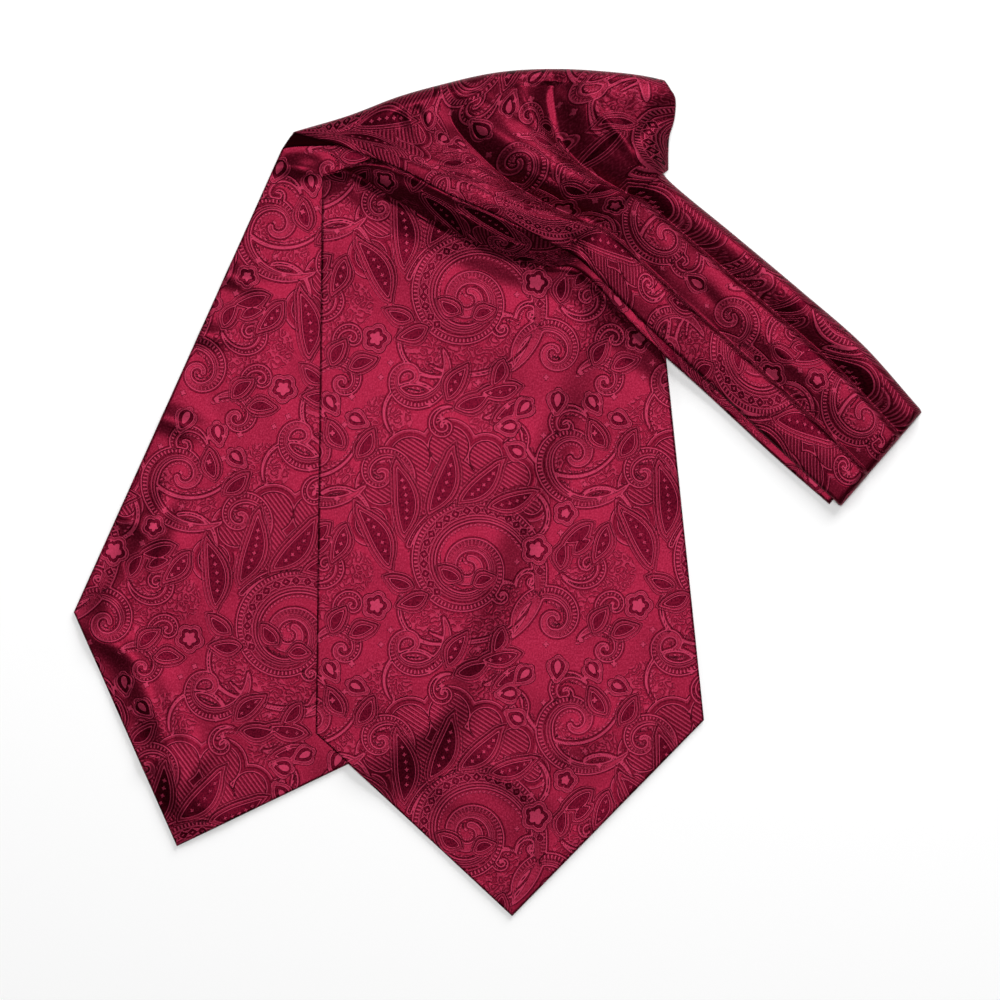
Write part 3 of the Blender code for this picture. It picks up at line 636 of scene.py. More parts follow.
def figured_silk():
    """Silk jacquard: a satin ground, whose long floats shine with the colour of the dye, and a figure
    in a tighter weave, whose outlines stand up a little and scatter the light. The shade beside those raised outlines
    is also painted into the colour as a dark band."""
    material = bpy.data.materials.new("figured_silk")
    material.use_nodes = True
    tree = material.node_tree
    tree.nodes.clear()
    cloth = add_node(tree, "ShaderNodeAttribute", attribute_name="cloth").outputs["Vector"]
    fields = {}
    for name in ("scroll", "echo", "shapes", "fills", "mark"):
        source = add_node(tree, "ShaderNodeAttribute", attribute_name=name)
        fields[name] = add_node(tree, "ShaderNodeSeparateXYZ", {0: source.outputs["Vector"]}).outputs
    leaf, bud, cloud = fields["shapes"]
    beyond, along, side = fields["scroll"]
    passed, apart, _ = fields["echo"]
    chain, patch, _ = fields["fills"]
    mark_x, mark_y, mark_size = fields["mark"]

    # Threads: small flecks on the satin, a pebbled texture in the figure, and worm-like lines
    flecks = add_node(tree, "ShaderNodeVectorMath", {0: cloth, 1: (SLUB[0], SLUB[1], 1.0)}, operation="MULTIPLY")
    fleck = add_node(tree, "ShaderNodeTexNoise", {"Vector": flecks.outputs[0], "Scale": 1.0, "Detail": 2.0})
    pebble = add_node(tree, "ShaderNodeTexNoise", {"Vector": cloth, "Scale": 1.1, "Detail": 1.0})
    worm = add_node(tree, "ShaderNodeTexNoise", {"Vector": cloth, "Scale": 0.34, "Detail": 0.5})
    worm_wave = add_node(tree, "ShaderNodeMath", {0: worm.outputs[0], 1: 30.0}, operation="MULTIPLY")
    worm_line = add_node(tree, "ShaderNodeMath", {0: worm_wave.outputs[0]}, operation="SINE")
    hatch_place = add_node(tree, "ShaderNodeVectorMath", {0: cloth, 1: HATCH_WAY}, operation="DOT_PRODUCT")
    hatch = add_node(tree, "ShaderNodeMath", {0: hatch_place.outputs["Value"]}, operation="SINE")

    # The lightness of the weave, with the painted shade beside raised outlines, built up from the ground to the
    # smallest marks
    worm_light = add_node(tree, "ShaderNodeMapRange", {0: worm_line.outputs[0], 1: -0.6, 2: 0.6, 3: 0.38, 4: 0.62})
    patch_line = woven_line(tree, patch, PATCH_WEAVE)
    level = add_node(
        tree, "ShaderNodeMix", {0: patch_line.outputs["Alpha"], 2: GROUND, 3: worm_light.outputs[0]},
    ).outputs[0]
    hatch_light = add_node(tree, "ShaderNodeMapRange", {0: hatch.outputs[0], 1: -0.5, 2: 0.5, 3: 0.30, 4: 0.72})
    inside = add_node(tree, "ShaderNodeMapRange", {0: cloud, 1: -3.5, 2: -3.7, 3: 0.0, 4: 1.0}, clamp=True)
    cloud_line = woven_line(tree, cloud, CLOUD_WEAVE)
    cloud_light = add_node(
        tree, "ShaderNodeMix", {0: inside.outputs[0], 2: cloud_line.outputs["Color"], 3: hatch_light.outputs[0]},
    )
    level = add_node(
        tree, "ShaderNodeMix", {0: cloud_line.outputs["Alpha"], 2: level, 3: cloud_light.outputs[0]},
    ).outputs[0]

    # The scrolls: a body whose echo lines fade where they would run too close, an outline, a rope edge
    part_line = add_node(tree, "ShaderNodeMath", {0: passed}, operation="FRACT")
    echo = woven_line(tree, part_line.outputs[0], ECHO_WEAVE)
    spaced = add_node(tree, "ShaderNodeMapRange", {0: apart, 1: 0.5, 2: 0.9, 3: 0.0, 4: 1.0}, clamp=True)
    body = add_node(tree, "ShaderNodeMix", {0: spaced.outputs[0], 2: BODY, 3: echo.outputs["Color"]})
    within = add_node(tree, "ShaderNodeMapRange", {0: beyond, 1: 0.1, 2: -0.1, 3: 0.0, 4: 1.0}, clamp=True)
    level = add_node(tree, "ShaderNodeMix", {0: within.outputs[0], 2: level, 3: body.outputs[0]}).outputs[0]
    comb_turn = add_node(tree, "ShaderNodeMath", {0: along, 1: COMB_TURN}, operation="MULTIPLY")
    comb_wave = add_node(tree, "ShaderNodeMath", {0: comb_turn.outputs[0]}, operation="SINE")
    teeth = add_node(tree, "ShaderNodeMapRange", {0: comb_wave.outputs[0], 1: -0.3, 2: 0.3, 3: 0.0, 4: 1.0}, clamp=True)
    comb_line = woven_line(tree, beyond, COMB_WEAVE)
    comb_side = add_node(tree, "ShaderNodeMath", {0: side, 1: 0.0}, operation="LESS_THAN")
    comb = add_node(tree, "ShaderNodeMath", {0: comb_line.outputs["Alpha"], 1: spaced.outputs[0]}, operation="MULTIPLY")
    comb = add_node(tree, "ShaderNodeMath", {0: comb.outputs[0], 1: comb_side.outputs[0]}, operation="MULTIPLY")
    comb_light = add_node(tree, "ShaderNodeMix", {0: teeth.outputs[0], 2: DARK_WEAVE_AND_SHADE, 3: BRIGHT})
    level = add_node(tree, "ShaderNodeMix", {0: comb.outputs[0], 2: level, 3: comb_light.outputs[0]}).outputs[0]
    rope_turn = add_node(tree, "ShaderNodeMath", {0: along, 1: ROPE_TURN}, operation="MULTIPLY")
    rope_slant = add_node(tree, "ShaderNodeMath", {0: beyond, 1: 2.4, 2: rope_turn.outputs[0]}, operation="MULTIPLY_ADD")
    rope_wave = add_node(tree, "ShaderNodeMath", {0: rope_slant.outputs[0]}, operation="SINE")
    strands = add_node(tree, "ShaderNodeMapRange", {0: rope_wave.outputs[0], 1: -0.3, 2: 0.2, 3: 0.0, 4: 1.0}, clamp=True)
    rope_line = woven_line(tree, beyond, ROPE_WEAVE)
    rope_side = add_node(tree, "ShaderNodeMath", {0: side, 1: 0.0}, operation="GREATER_THAN")
    rope = add_node(tree, "ShaderNodeMath", {0: rope_line.outputs["Alpha"], 1: strands.outputs[0]}, operation="MULTIPLY")
    rope = add_node(tree, "ShaderNodeMath", {0: rope.outputs[0], 1: rope_side.outputs[0]}, operation="MULTIPLY")
    level = add_node(tree, "ShaderNodeMix", {0: rope.outputs[0], 2: level, 3: BRIGHT}).outputs[0]

    petal_angle = add_node(tree, "ShaderNodeMath", {0: mark_y, 1: mark_x}, operation="ARCTAN2")
    petal_turn = add_node(tree, "ShaderNodeMath", {0: petal_angle.outputs[0], 1: 4.0}, operation="MULTIPLY")
    petal_wave = add_node(tree, "ShaderNodeMath", {0: petal_turn.outputs[0]}, operation="COSINE")
    petal_reach = add_node(tree, "ShaderNodeMapRange", {0: petal_wave.outputs[0], 1: -1.0, 2: 1.0, 3: 0.6, 4: 1.0})
    petal = add_node(tree, "ShaderNodeMath", {0: mark_size, 1: petal_reach.outputs[0]}, operation="DIVIDE")

    for field, stops in (
        (beyond, SCROLL_WEAVE), (chain, CHAIN_WEAVE), (leaf, LEAF_WEAVE), (bud, BUD_WEAVE),
        (petal.outputs[0], MARK_WEAVE),
    ):
        line = woven_line(tree, field, stops)
        level = add_node(
            tree, "ShaderNodeMix", {0: line.outputs["Alpha"], 2: level, 3: line.outputs["Color"]},
        ).outputs[0]

    # What the weave raises; the threads' own flecks only change its lightness
    relief = add_node(tree, "ShaderNodeMath", {0: fleck.outputs[0], 1: 0.05, 2: level}, operation="MULTIPLY_ADD")
    flecked = add_node(tree, "ShaderNodeMapRange", {0: fleck.outputs[0], 1: 0.3, 2: 0.7, 3: -0.15, 4: 0.15})
    pebbled = add_node(tree, "ShaderNodeMapRange", {0: pebble.outputs[0], 1: 0.3, 2: 0.7, 3: -0.06, 4: 0.06})
    level = add_node(tree, "ShaderNodeMath", {0: level, 1: flecked.outputs[0]}, operation="ADD").outputs[0]
    level = add_node(tree, "ShaderNodeMath", {0: level, 1: pebbled.outputs[0]}, operation="ADD").outputs[0]
    colour = add_node(tree, "ShaderNodeValToRGB", {0: level})
    elements = colour.color_ramp.elements
    elements[0].position, elements[0].color = 0.0, srgb("#240007")
    elements[1].position, elements[1].color = 1.0, srgb("#8a2740")
    ground = elements.new(GROUND)
    ground.color = srgb("#510a1b")
    shine = add_node(tree, "ShaderNodeMapRange", {0: level, 1: GROUND, 2: BRIGHT, 3: 0.82, 4: 0.66}, clamp=True)
    rough = add_node(tree, "ShaderNodeMapRange", {0: level, 1: GROUND, 2: BRIGHT, 3: 0.36, 4: 0.45}, clamp=True)
    bump = add_node(
        tree, "ShaderNodeBump", {"Height": relief.outputs[0], "Strength": 0.8, "Distance": 0.00024},
    )
    shader = add_node(tree, "ShaderNodeBsdfPrincipled", {
        "Base Color": colour.outputs["Color"],
        "Roughness": rough.outputs[0],
        "Metallic": shine.outputs[0],
        "Normal": bump.outputs[0],
        "IOR": 1.5,
        "Specular IOR Level": 0.02,
    })
    add_node(tree, "ShaderNodeOutputMaterial", {"Surface": shader.outputs[0]})
    return material


def back_relief(xy):
    """Rise and fall of the back blade's face."""
    return waves(BACK_WAVES, xy) + unevenness(xy, seed=11)


silk = figured_silk()

back_blade = blade(
    "silk_back_blade", BACK, back_top_line, on_table, back_relief, BACK_GRAIN, BACK_FIGURE, "last",
)
back_blade.data.materials.append(silk)
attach(back_blade, "root")
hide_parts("back_blade")

# The front blade. The other end, cut alike: it lies over the back blade, and its upper end is hidden
# in the fold of the neckband that it was pleated into.
FRONT = {
    "left_corner": (-75.5, -98.6),
    "tip": (5.4, -174.0),
    "right_corner": (84.5, -93.2),
    "left_top": (-72.8, 130.9),
    "right_top": (57.8, 162.0),
}
FRONT_GRAIN = 0.0  # its warp runs straight up the table
FRONT_FIGURE = (62.0, 12.0)
BAND_EDGE = (
    (-72.3, 131.4), (-61.0, 132.4), (-42.9, 121.2), (-22.3, 110.1), (-1.6, 99.8), (19.0, 93.6), (34.0, 91.2),
    (58.1, 66.0), (86.2, 40.6),
)
PRESSED_DEPTH = 1.1  # the neckband's weight presses the blade down by this much along that edge
PRESSED_SWELL = 1.9  # and it swells up by this much beside it
PRESSED_REACH = 14.0  # from the edge out to the top of the swell
SWELL_REACH = 45.0  # and on to where it lies flat again
FRONT_WAVES = (
    (5.4, -117.1, -40.0, 15.0, 6.0, 0.9),
    (-28.5, -95.3, 35.0, 13.0, 6.0, 0.6),
    (-26.4, -118.0, -60.0, 14.0, 6.0, 0.5),
    (33.4, -101.4, 30.0, 16.0, 7.0, 0.6),
    (34.0, -142.0, 44.0, 30.0, 7.0, 0.6),
    (62.0, -102.0, 75.0, 22.0, 8.0, 0.5),
)


def past_line(xy, start, end):
    """How far points lie to the right of the line from start to end."""
    start = np.asarray(start, float)
    way = np.asarray(end, float) - start
    way = way / np.hypot(*way)
    return (xy[..., 0] - start[0]) * way[1] - (xy[..., 1] - start[1]) * way[0]


def under_front(xy):
    """Underside of the front blade: over the back blade, then down to the table."""
    below = past_line(xy, BACK["tip"], BACK["right_corner"])
    beside = past_line(xy, BACK["right_corner"], BACK["right_top"])
    return STEP * (1.0 - smooth_step(np.maximum(below, beside) / DRAPE))


def front_relief(xy):
    """Rise and fall of the front blade's face, which the neckband presses down along its lower edge."""
    edge = np.array(BAND_EDGE)
    away = np.full(xy.shape[:-1], np.inf)
    for start, end in zip(edge[:-1], edge[1:]):
        way = end - start
        share = np.clip(((xy - start) @ way) / (way @ way), 0.0, 1.0)
        off = np.linalg.norm(xy - (start + share[..., None] * way), axis=-1)
        side = np.where(past_line(xy, start, end) > 0.0, off, -off)
        away = np.where(np.abs(side) < np.abs(away), side, away)
    climb = np.sin(0.5 * np.pi * np.clip(away / PRESSED_REACH, 0.0, 1.0))
    beside = (PRESSED_DEPTH + PRESSED_SWELL) * climb - PRESSED_DEPTH
    settled = 1.0 - smooth_step((away - PRESSED_REACH) / SWELL_REACH)
    return waves(FRONT_WAVES, xy) + unevenness(xy, seed=12, height=0.05) + beside * settled


def front_top_line(share):
    """The front blade's hidden end, a straight line."""
    return blend(np.array(FRONT["left_top"]), np.array(FRONT["right_top"]), share[:, None])


front_blade = blade(
    "silk_front_blade", FRONT, front_top_line, under_front, front_relief, FRONT_GRAIN, FRONT_FIGURE,
)
front_blade.data.materials.append(silk)
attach(front_blade, "root")
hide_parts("front_blade")

# The lower stretch of the neckband. The same silk, pleated down to a third of its width: its fold
# wraps the front blade's end, and it runs on beneath the upper stretch to the band's end.
UNDER_COLUMNS = ("lower_x", "lower_y", "upper_x", "upper_y")
UNDER_ROWS = (
    (-72.3, 131.4, 59.3, 162.8),
    (-61.0, 132.4, 64.6, 158.4),
    (-42.9, 121.2, 67.6, 152.2),
    (-22.3, 110.1, 68.5, 146.0),
    (-1.6, 99.8, 68.8, 139.8),
    (19.0, 93.6, 69.0, 134.4),
    (34.0, 91.2, 69.0, 129.5),
    (58.1, 66.0, 94.8, 105.0),
    (86.2, 40.6, 122.6, 82.1),
    (112.4, 16.4, 148.2, 59.8),
    (136.1, -4.2, 170.5, 36.5),
)
BAND_WAY = np.array([0.73, -0.68])  # the way that the band runs
UNDER_PLEATS = (-57.0, -2.0)  # its pleats are laid over this stretch, measured that way from the origin
UNDER_PLEATS_ADD = 1.2
UNDER_SWELL = (2.0, 4.2, 6.4, 7.2, 7.2, 5.6, 2.2, 0.0, 0.0, 0.0, 0.0)  # its rise beneath the upper stretch
UNDER_WAVES = (
    (-66.0, 136.5, -8.0, 9.0, 3.5, 1.8),
    (-52.0, 130.0, -28.0, 12.0, 3.0, 1.0),
    (-20.0, 116.0, -28.0, 30.0, 2.5, 0.8),
)
SWELL_START = 7.0  # from its lower edge in to the top of that rise, at its fold
SWELL_TOP = 16.0  # from its lower edge in to the top of that rise
SWELL_FOOT = 31.0  # and on to where it lies down again
UNDER_FOLD = 3.0  # from its first section to the outside of the hidden fold


def under_lower_band(xy):
    """Underside of the lower neck stretch: over the front blade, then down to the table."""
    past = past_line(xy, FRONT["right_corner"], FRONT["right_top"])
    return (under_front(xy) + STEP) * (1.0 - smooth_step(past / DRAPE))


def lower_band_thick(xy):
    """Thickness of the lower neck stretch, which grows where its own pleats are laid."""
    along = xy @ BAND_WAY
    laid = smooth_step((along - UNDER_PLEATS[0]) / (UNDER_PLEATS[1] - UNDER_PLEATS[0]))
    return PLY + UNDER_PLEATS_ADD * laid


def table_at(columns, rows, places):
    """Each named column of a table, read along a smooth curve at the given row numbers."""
    values = spline(np.arange(len(rows)), np.array(rows), places)
    return {name: values[:, k] for k, name in enumerate(columns)}


def cloth_along(outer, across, first):
    """Places on the cloth for a pleated stretch: across as given, and along by each column's own
    length, starting from where the cloth crosses the fold on the slant."""
    steps = np.linalg.norm(np.diff(outer, axis=0), axis=2)
    run = first + np.concatenate([np.zeros((1, outer.shape[1])), np.cumsum(steps, axis=0)])
    return np.stack([np.broadcast_to(across, run.shape), run], axis=-1)


def under_neck_stretch():
    """The lower stretch's two faces, from its fold round the front blade to the band's end."""
    turn = np.radians(np.linspace(-50.0, 90.0, 13)[:-1])
    places = np.concatenate([[0.0, 0.05, 0.15], np.linspace(0.22, 9.96, 300), [9.985, 10.0]])
    columns = even_shares(110, 90.0)
    row = table_at(UNDER_COLUMNS, UNDER_ROWS, places)
    lower = np.stack([row["lower_x"], row["lower_y"]], axis=1)
    upper = np.stack([row["upper_x"], row["upper_y"]], axis=1)
    xy = blend(lower[:, None], upper[:, None], columns[None, :, None])
    inward = np.linalg.norm(upper - lower, axis=1)[:, None] * columns
    swell = np.interp(places, range(len(UNDER_SWELL)), UNDER_SWELL)[:, None]
    swell = swell * np.minimum(inward / blend(SWELL_START, SWELL_TOP, smooth_step(places / 2.0))[:, None], 1.0)
    swell = swell * (1.0 - smooth_step((inward - SWELL_TOP) / (SWELL_FOOT - SWELL_TOP)))
    low = under_lower_band(xy) + swell
    creased = waves(UNDER_WAVES, xy)
    top = low + lower_band_thick(xy) + creased
    outer = np.concatenate([xy, top[..., None]], axis=2)
    inner = np.concatenate([xy, low[..., None]], axis=2)
    # The fold: out from the first section, round and down to the front blade's underside
    way = np.array([-(xy[0, -1] - xy[0, 0])[1], (xy[0, -1] - xy[0, 0])[0]])
    way /= np.hypot(*way)
    foot = under_front(xy[0])
    middle = (top[0] + foot) / 2.0
    half = (top[0] - foot) / 2.0
    fold_outer = []
    fold_inner = []
    for k, angle in enumerate(turn):
        reach = UNDER_FOLD * smooth_step(columns / 0.25)[:, None]
        place = xy[0] + way * reach * np.cos(angle)
        height = middle + half * np.sin(angle)
        if k == 0:
            height = foot
        fold_outer.append(np.column_stack([place, height]))
        fold_inner.append(np.column_stack([xy[0], blend(foot, low[0], k / len(turn))]))
    outer = np.concatenate([np.array(fold_outer), outer])
    inner = np.concatenate([np.array(fold_inner), inner])
    cloth = cloth_along(outer, columns[None, :] * 130.0, columns * 60.0)
    return outer[:, ::-1], inner[:, ::-1], cloth[:, ::-1]


under_stretch = cloth_piece("silk_under_neck_stretch", *under_neck_stretch())
under_stretch.data.materials.append(silk)
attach(under_stretch, "root")
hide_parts("under_neck_stretch")

# The upper stretch of the neckband. The back blade's silk comes over the top fold as a hollow roll,
# is gathered into three pleats and runs down as a band, whose pleats are pressed and sewn down
# beneath, each laid over its neighbour. Its end is folded down to the table.
UPPER_COLUMNS = (
    "lower_x", "lower_y", "upper_x", "upper_y", "arch",
    "crest_1", "valley_1", "crest_2", "valley_2", "crest_3",
    "rise_lower", "rise_crest_1", "rise_valley_1", "rise_crest_2", "rise_valley_2",
    "rise_crest_3", "rise_upper",
)
UPPER_ROWS = (
    (-63.5, 142.3, 72.6, 162.5, 0.60, 0.05, 0.33, 0.41, 0.63, 0.73, 2.6, 3.6, 0.8, 5.2, 0.6, 5.6, 1.2),
    (-40.8, 133.2, 72.2, 154.2, 0.30, 0.07, 0.28, 0.42, 0.57, 0.76, 5.6, 6.4, 0.8, 6.8, 0.4, 6.0, 1.0),
    (-20.2, 122.5, 70.1, 146.8, 0.10, 0.11, 0.26, 0.48, 0.57, 0.82, 6.8, 7.6, 0.8, 7.4, 0.4, 5.6, 0.8),
    (0.4, 113.4, 69.7, 139.8, 0.0, 0.13, 0.25, 0.55, 0.60, 0.87, 6.8, 7.6, 0.6, 7.0, 0.3, 5.0, 0.6),
    (21.0, 102.7, 69.7, 133.6, 0.0, 0.24, 0.30, 0.64, 0.66, 0.91, 4.6, 5.6, 0.4, 5.0, 0.2, 3.8, 0.5),
    (34.6, 94.9, 69.7, 129.1, 0.0, 0.300, 0.345, 0.690, 0.735, 0.94, 2.2, 3.6, 0.1, 3.8, 0.0, 3.3, 0.5),
    (60.6, 69.3, 96.5, 106.8, 0.0, 0.305, 0.350, 0.700, 0.745, 0.945, 1.2, 3.0, 0.0, 3.2, 0.0, 3.1, 0.3),
    (88.3, 43.7, 124.1, 83.7, 0.0, 0.305, 0.350, 0.700, 0.745, 0.945, 1.2, 3.0, 0.0, 3.2, 0.0, 3.1, 0.3),
    (114.2, 19.4, 149.7, 61.4, 0.0, 0.305, 0.350, 0.700, 0.745, 0.945, 1.2, 3.0, 0.0, 3.2, 0.0, 3.1, 0.3),
    (138.3, -2.8, 172.0, 36.4, 0.0, 0.305, 0.350, 0.700, 0.745, 0.945, 1.0, 2.6, 0.0, 2.8, 0.0, 2.6, 0.3),
)
FOLD_SHARES = (0.03, 0.42, 0.48, 0.70, 0.79)
FOLD_RISES = (0.5, 0.9, 2.4, 3.0, 1.2, 2.6, 0.8)
PLEATS_SHUT = (4.0, 6.0)
LIP = 0.012
BAND_END = 3.4
BAND_FOOT = 0.75
OVER_WAYS = ((0.95, -0.30), (0.46, -0.89))
FOLD_ACROSS = np.array([0.0, 0.03, 0.42, 0.48, 0.70, 0.79, 1.0]) * 131.6  # the cloth's width, unpleated
FOLD_SLANT = 73.0  # the fold crosses the cloth on the slant, this much further along it at the right
BAND_ACROSS = np.array([0.0, 17.3, 51.1, 71.8, 105.6, 112.2, 119.6])  # the same places along the band
UPPER_WAVES = (
    (-42.0, 156.3, -66.0, 7.0, 2.0, -0.9),
    (-36.7, 154.2, -66.0, 9.0, 1.8, 1.0),
    (-32.6, 155.1, -66.0, 7.0, 2.0, -1.0),
    (-20.2, 134.4, -18.0, 14.0, 3.0, -1.2),
    (13.4, 158.4, -62.0, 15.0, 3.0, 1.6),
    (8.7, 152.2, -40.0, 6.0, 3.5, -1.2),
    (23.9, 156.3, -70.0, 15.0, 6.0, -1.6),
    (31.3, 102.7, -50.0, 6.0, 2.2, -1.2),
    (36.7, 113.8, -20.0, 7.0, 2.0, -1.0),
    (45.8, 152.2, -52.0, 18.0, 3.0, 1.4),
    (43.7, 159.2, -60.0, 5.0, 2.5, -1.2),
    (60.2, 162.5, -60.0, 6.0, 4.0, 0.7),
    (61.4, 150.9, 52.0, 8.0, 2.5, -1.4),
    (19.0, 127.4, -30.0, 12.0, 2.4, 0.8),
    (-61.4, 148.0, -15.0, 10.0, 2.5, -0.7),
    (-56.0, 141.5, -30.0, 7.0, 2.0, -0.6),
    (-7.8, 162.5, -30.0, 8.0, 2.5, -0.9),
    (83.0, 84.0, -43.0, 16.0, 3.0, -0.4),
    (118.0, 56.0, -43.0, 18.0, 3.0, 0.4),
)
COLUMNS_IN_PART = (28, 78, 32, 46, 22, 44)  # columns between one crest or valley and the next
UPPER_FIGURE = (20.0, 40.0)


def under_upper_band(xy):
    """Underside of the upper neck stretch: over the lower one, and left of it on the back blade."""
    left = past_line(xy, FRONT["left_top"], FRONT["left_corner"])
    held = 1.0 - smooth_step(left / DRAPE)
    return STEP + (under_lower_band(xy) + lower_band_thick(xy) + GAP - STEP) * held


def upper_columns():
    """Column numbers across the pleats, from 0 at one edge to 6 at the other."""
    parts = [k + np.arange(count) / count for k, count in enumerate(COLUMNS_IN_PART)]
    columns = np.concatenate(parts + [[6.0]])
    border = np.array([0.01, 0.025])
    return np.sort(np.concatenate([columns, border, 6.0 - border]))


def upper_sections(places, columns, first_curve):
    """Points across the upper stretch at given rows. A column runs from 0 at the lower edge through
    its crests and valleys, 1 to 5, to 6 at the upper edge. Returns both faces' places and rises."""
    first_row = (*first_curve[0], *first_curve[-1], 1.0, *FOLD_SHARES, *FOLD_RISES)
    row = table_at(UPPER_COLUMNS, (first_row,) + UPPER_ROWS, places)
    stations = np.stack(
        [np.zeros(len(places))] + [row[name] for name in UPPER_COLUMNS[5:10]] + [np.ones(len(places))],
        axis=1,
    )
    rises = np.stack([row[name] for name in UPPER_COLUMNS[10:]], axis=1)
    rises = np.maximum(rises, 0.0)
    part = np.minimum(columns.astype(int), 5)
    local = columns - part
    share = stations[:, part] * (1.0 - local) + stations[:, part + 1] * local
    falls = part % 2 == 1
    laid = np.clip((stations[:, part] - stations[:, part + 1]) / 0.035, 0.0, 1.0)
    share = share + np.where(falls, LIP * laid * np.sin(np.pi * local), 0.0)
    shut = smooth_step((places - PLEATS_SHUT[0]) / (PLEATS_SHUT[1] - PLEATS_SHUT[0]))[:, None]
    climb = np.sin(0.5 * np.pi * np.where(falls, 1.0 - local, local))
    low = np.where(falls, rises[:, part + 1], rises[:, part])
    high = np.where(falls, rises[:, part], rises[:, part + 1])
    rise = low + (high - low) * climb
    lower = np.stack([row["lower_x"], row["lower_y"]], axis=1)
    upper = np.stack([row["upper_x"], row["upper_y"]], axis=1)
    chord = blend(first_curve[0], first_curve[-1], np.linspace(0.0, 1.0, len(first_curve))[:, None])
    arch = first_curve - chord
    knots = np.linspace(0.0, 1.0, len(first_curve))

    def at(shares):
        bend = np.stack([np.interp(shares, knots, arch[:, k]) for k in (0, 1)], axis=-1)
        straight = blend(lower[:, None], upper[:, None], shares[..., None])
        return straight + bend * row["arch"][:, None, None]

    evenly = np.arange(len(columns)) / (len(columns) - 1.0)
    beneath = blend(share, evenly[None, :], shut)
    return at(share), at(beneath), rise, rise * (1.0 - shut)


def cloth_across(places, columns):
    """Where each column lies across the cloth: evenly at the fold, and with the tucked cloth left out
    of sight at the foot of each laid pleat along the band."""
    part = np.minimum(columns.astype(int), 5)
    local = columns - part
    tucked = np.where(part % 2 == 1, local ** 8, local)
    open_fold = FOLD_ACROSS[part] + (FOLD_ACROSS[part + 1] - FOLD_ACROSS[part]) * local
    band = BAND_ACROSS[part] + (BAND_ACROSS[part + 1] - BAND_ACROSS[part]) * tucked
    share = smooth_step(places / 6.0)[:, None]
    return blend(open_fold[None, :], band[None, :], share)


def upper_neck_stretch():
    """The upper stretch's two faces: round the top fold, out into the fan, along the band and down."""
    columns = upper_columns()
    shares = np.linspace(0.0, 1.0, 161)
    over = turned_ways(shares, *OVER_WAYS)
    first_curve = fold_line(shares) + over * fold_depth(shares)[:, None]
    places = np.linspace(0.0, 10.0, 330)
    top_xy, low_xy, rise, low_rise = upper_sections(places, columns, first_curve)
    creased = smooth_step(places / 0.25)[:, None] * (waves(UPPER_WAVES, top_xy) + unevenness(top_xy, 13))
    top = under_upper_band(top_xy) + PLY + np.maximum(rise + creased, 0.0)
    low = under_upper_band(low_xy) + low_rise
    outer = np.concatenate([top_xy, top[..., None]], axis=2)
    inner = np.concatenate([low_xy, low[..., None]], axis=2)
    across = cloth_across(places, columns)

    # The top fold, as a hollow roll that ends on the table
    at_fold = np.interp(columns, range(7), (0.0,) + FOLD_SHARES + (1.0,))
    line = fold_line(at_fold)
    over = turned_ways(at_fold, *OVER_WAYS)
    beneath = turned_ways(at_fold, *UNDER_WAYS)
    depth = fold_depth(at_fold)[:, None]
    half = top[0] / 2.0
    roll_outer = []
    roll_inner = []
    for under in (FOLD_UNDER, FOLD_UNDER - 0.5, FOLD_UNDER / 2.0):
        place = line + beneath * (depth + under)
        roll_outer.append(np.column_stack([place, 0.0 * half]))
        roll_inner.append(np.column_stack([place, 0.0 * half + PLY]))
    for angle in np.radians(np.linspace(-90.0, 90.0, 21)[:-1]):
        way = blend(beneath, over, (1.0 + np.sin(angle)) / 2.0)
        place = line + way * depth * (1.0 - np.cos(angle))
        roll_outer.append(np.column_stack([place, half * (1.0 + np.sin(angle))]))
        place = line + way * (depth - (depth - PLY) * np.cos(angle))
        roll_inner.append(np.column_stack([place, half + (half - PLY) * np.sin(angle)]))

    # The band's end, folded down to the table round the stretch beneath
    run = outer[-1, :, :2].mean(axis=0) - outer[-12, :, :2].mean(axis=0)
    run /= np.hypot(*run)
    end_outer = []
    end_inner = []
    angles = np.radians(np.linspace(90.0, -60.0, 12)[1:])
    for k, angle in enumerate(angles):
        share = (k + 1) / len(angles)
        height = top[-1] / 2.0 * (1.0 + np.sin(angle))
        reach = BAND_END * np.cos(angle)
        if k == len(angles) - 1:
            height = 0.0 * height
            reach = BAND_END * BAND_FOOT
        end_outer.append(np.column_stack([outer[-1, :, :2] + run * reach, height]))
        drop = low[-1] * (1.0 - share)
        end_inner.append(np.column_stack([inner[-1, :, :2] + run * GAP * share, drop]))
    outer = np.concatenate([roll_outer, outer, end_outer])
    inner = np.concatenate([roll_inner, inner, end_inner])
    across = np.concatenate([
        np.repeat(across[:1], len(roll_outer), axis=0), across, np.repeat(across[-1:], len(end_outer), axis=0),
    ])
    cloth = cloth_along(outer, across, at_fold * FOLD_SLANT) + UPPER_FIGURE
    return outer[:, ::-1], inner[:, ::-1], cloth[:, ::-1]


upper_stretch = cloth_piece("silk_upper_neck_stretch", *upper_neck_stretch(), joined="first")
upper_stretch.data.materials.append(silk)
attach(upper_stretch, "root")
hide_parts("upper_neck_stretch")

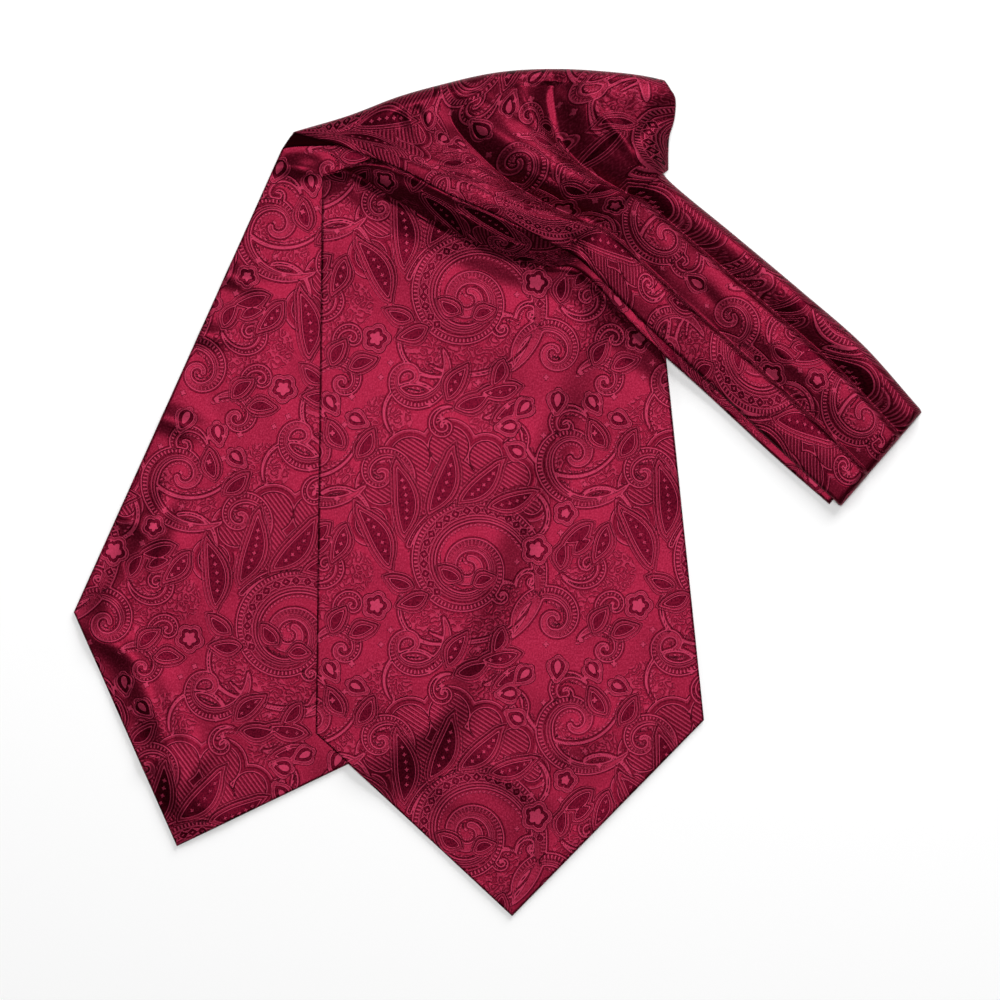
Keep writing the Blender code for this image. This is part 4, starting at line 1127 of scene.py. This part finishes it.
# The table and the studio. A plain pale table top under soft light, seen from straight above.
TABLE_SIDE = 8.0
table_mesh = bpy.data.meshes.new("table_top")
half = TABLE_SIDE / 2.0
table_mesh.from_pydata(
    [(-half, -half, 0.0), (half, -half, 0.0), (half, half, 0.0), (-half, half, 0.0)], [], [(0, 1, 2, 3)],
)
table_top = bpy.data.objects.new("table_top", table_mesh)
bpy.context.scene.collection.objects.link(table_top)
table_top.location.z = -0.0002
paint = bpy.data.materials.new("matt_white_table")
paint.use_nodes = True
paint_shader = paint.node_tree.nodes["Principled BSDF"]
paint_shader.inputs["Base Color"].default_value = srgb("#fdfdfd")
paint_shader.inputs["Roughness"].default_value = 0.9
paint_shader.inputs["Specular IOR Level"].default_value = 0.1
table_mesh.materials.append(paint)

LIGHT_COLUMNS = ("name", "place", "size", "power")
LIGHTS = (
    ("overhead_soft_box", (0.0, 0.16, 2.6), 0.7, 39.0),
    ("window", (0.60, 1.30, 0.85), 1.0, 24.0),
    ("side_soft_box", (-1.3, 0.5, 0.9), 0.6, 3.0),
)
for row in LIGHTS:
    lamp = dict(zip(LIGHT_COLUMNS, row))
    data = bpy.data.lights.new(lamp["name"], "AREA")
    data.energy = lamp["power"]
    data.size = lamp["size"]
    light = bpy.data.objects.new(lamp["name"], data)
    light.location = lamp["place"]
    aim = -np.array(lamp["place"])
    light.rotation_mode = "QUATERNION"
    light.rotation_quaternion = Vector(aim).to_track_quat("-Z", "Y")
    bpy.context.scene.collection.objects.link(light)

world = bpy.data.worlds.new("studio")
world.use_nodes = True
world.node_tree.nodes["Background"].inputs[0].default_value = (1.0, 1.0, 1.0, 1.0)
world.node_tree.nodes["Background"].inputs[1].default_value = 0.06
bpy.context.scene.world = world
bpy.context.scene.view_settings.view_transform = "Standard"

PICTURE_SIDE = 0.4124  # what the photograph shows of the table, from side to side
LENS = 170.0
SENSOR = 36.0
camera_data = bpy.data.cameras.new("camera")
camera_data.lens = LENS
camera_data.sensor_width = SENSOR
camera = bpy.data.objects.new("camera", camera_data)
camera.location = (0.0009, -0.0030, PICTURE_SIDE * LENS / SENSOR)
bpy.context.scene.collection.objects.link(camera)
bpy.context.scene.camera = camera
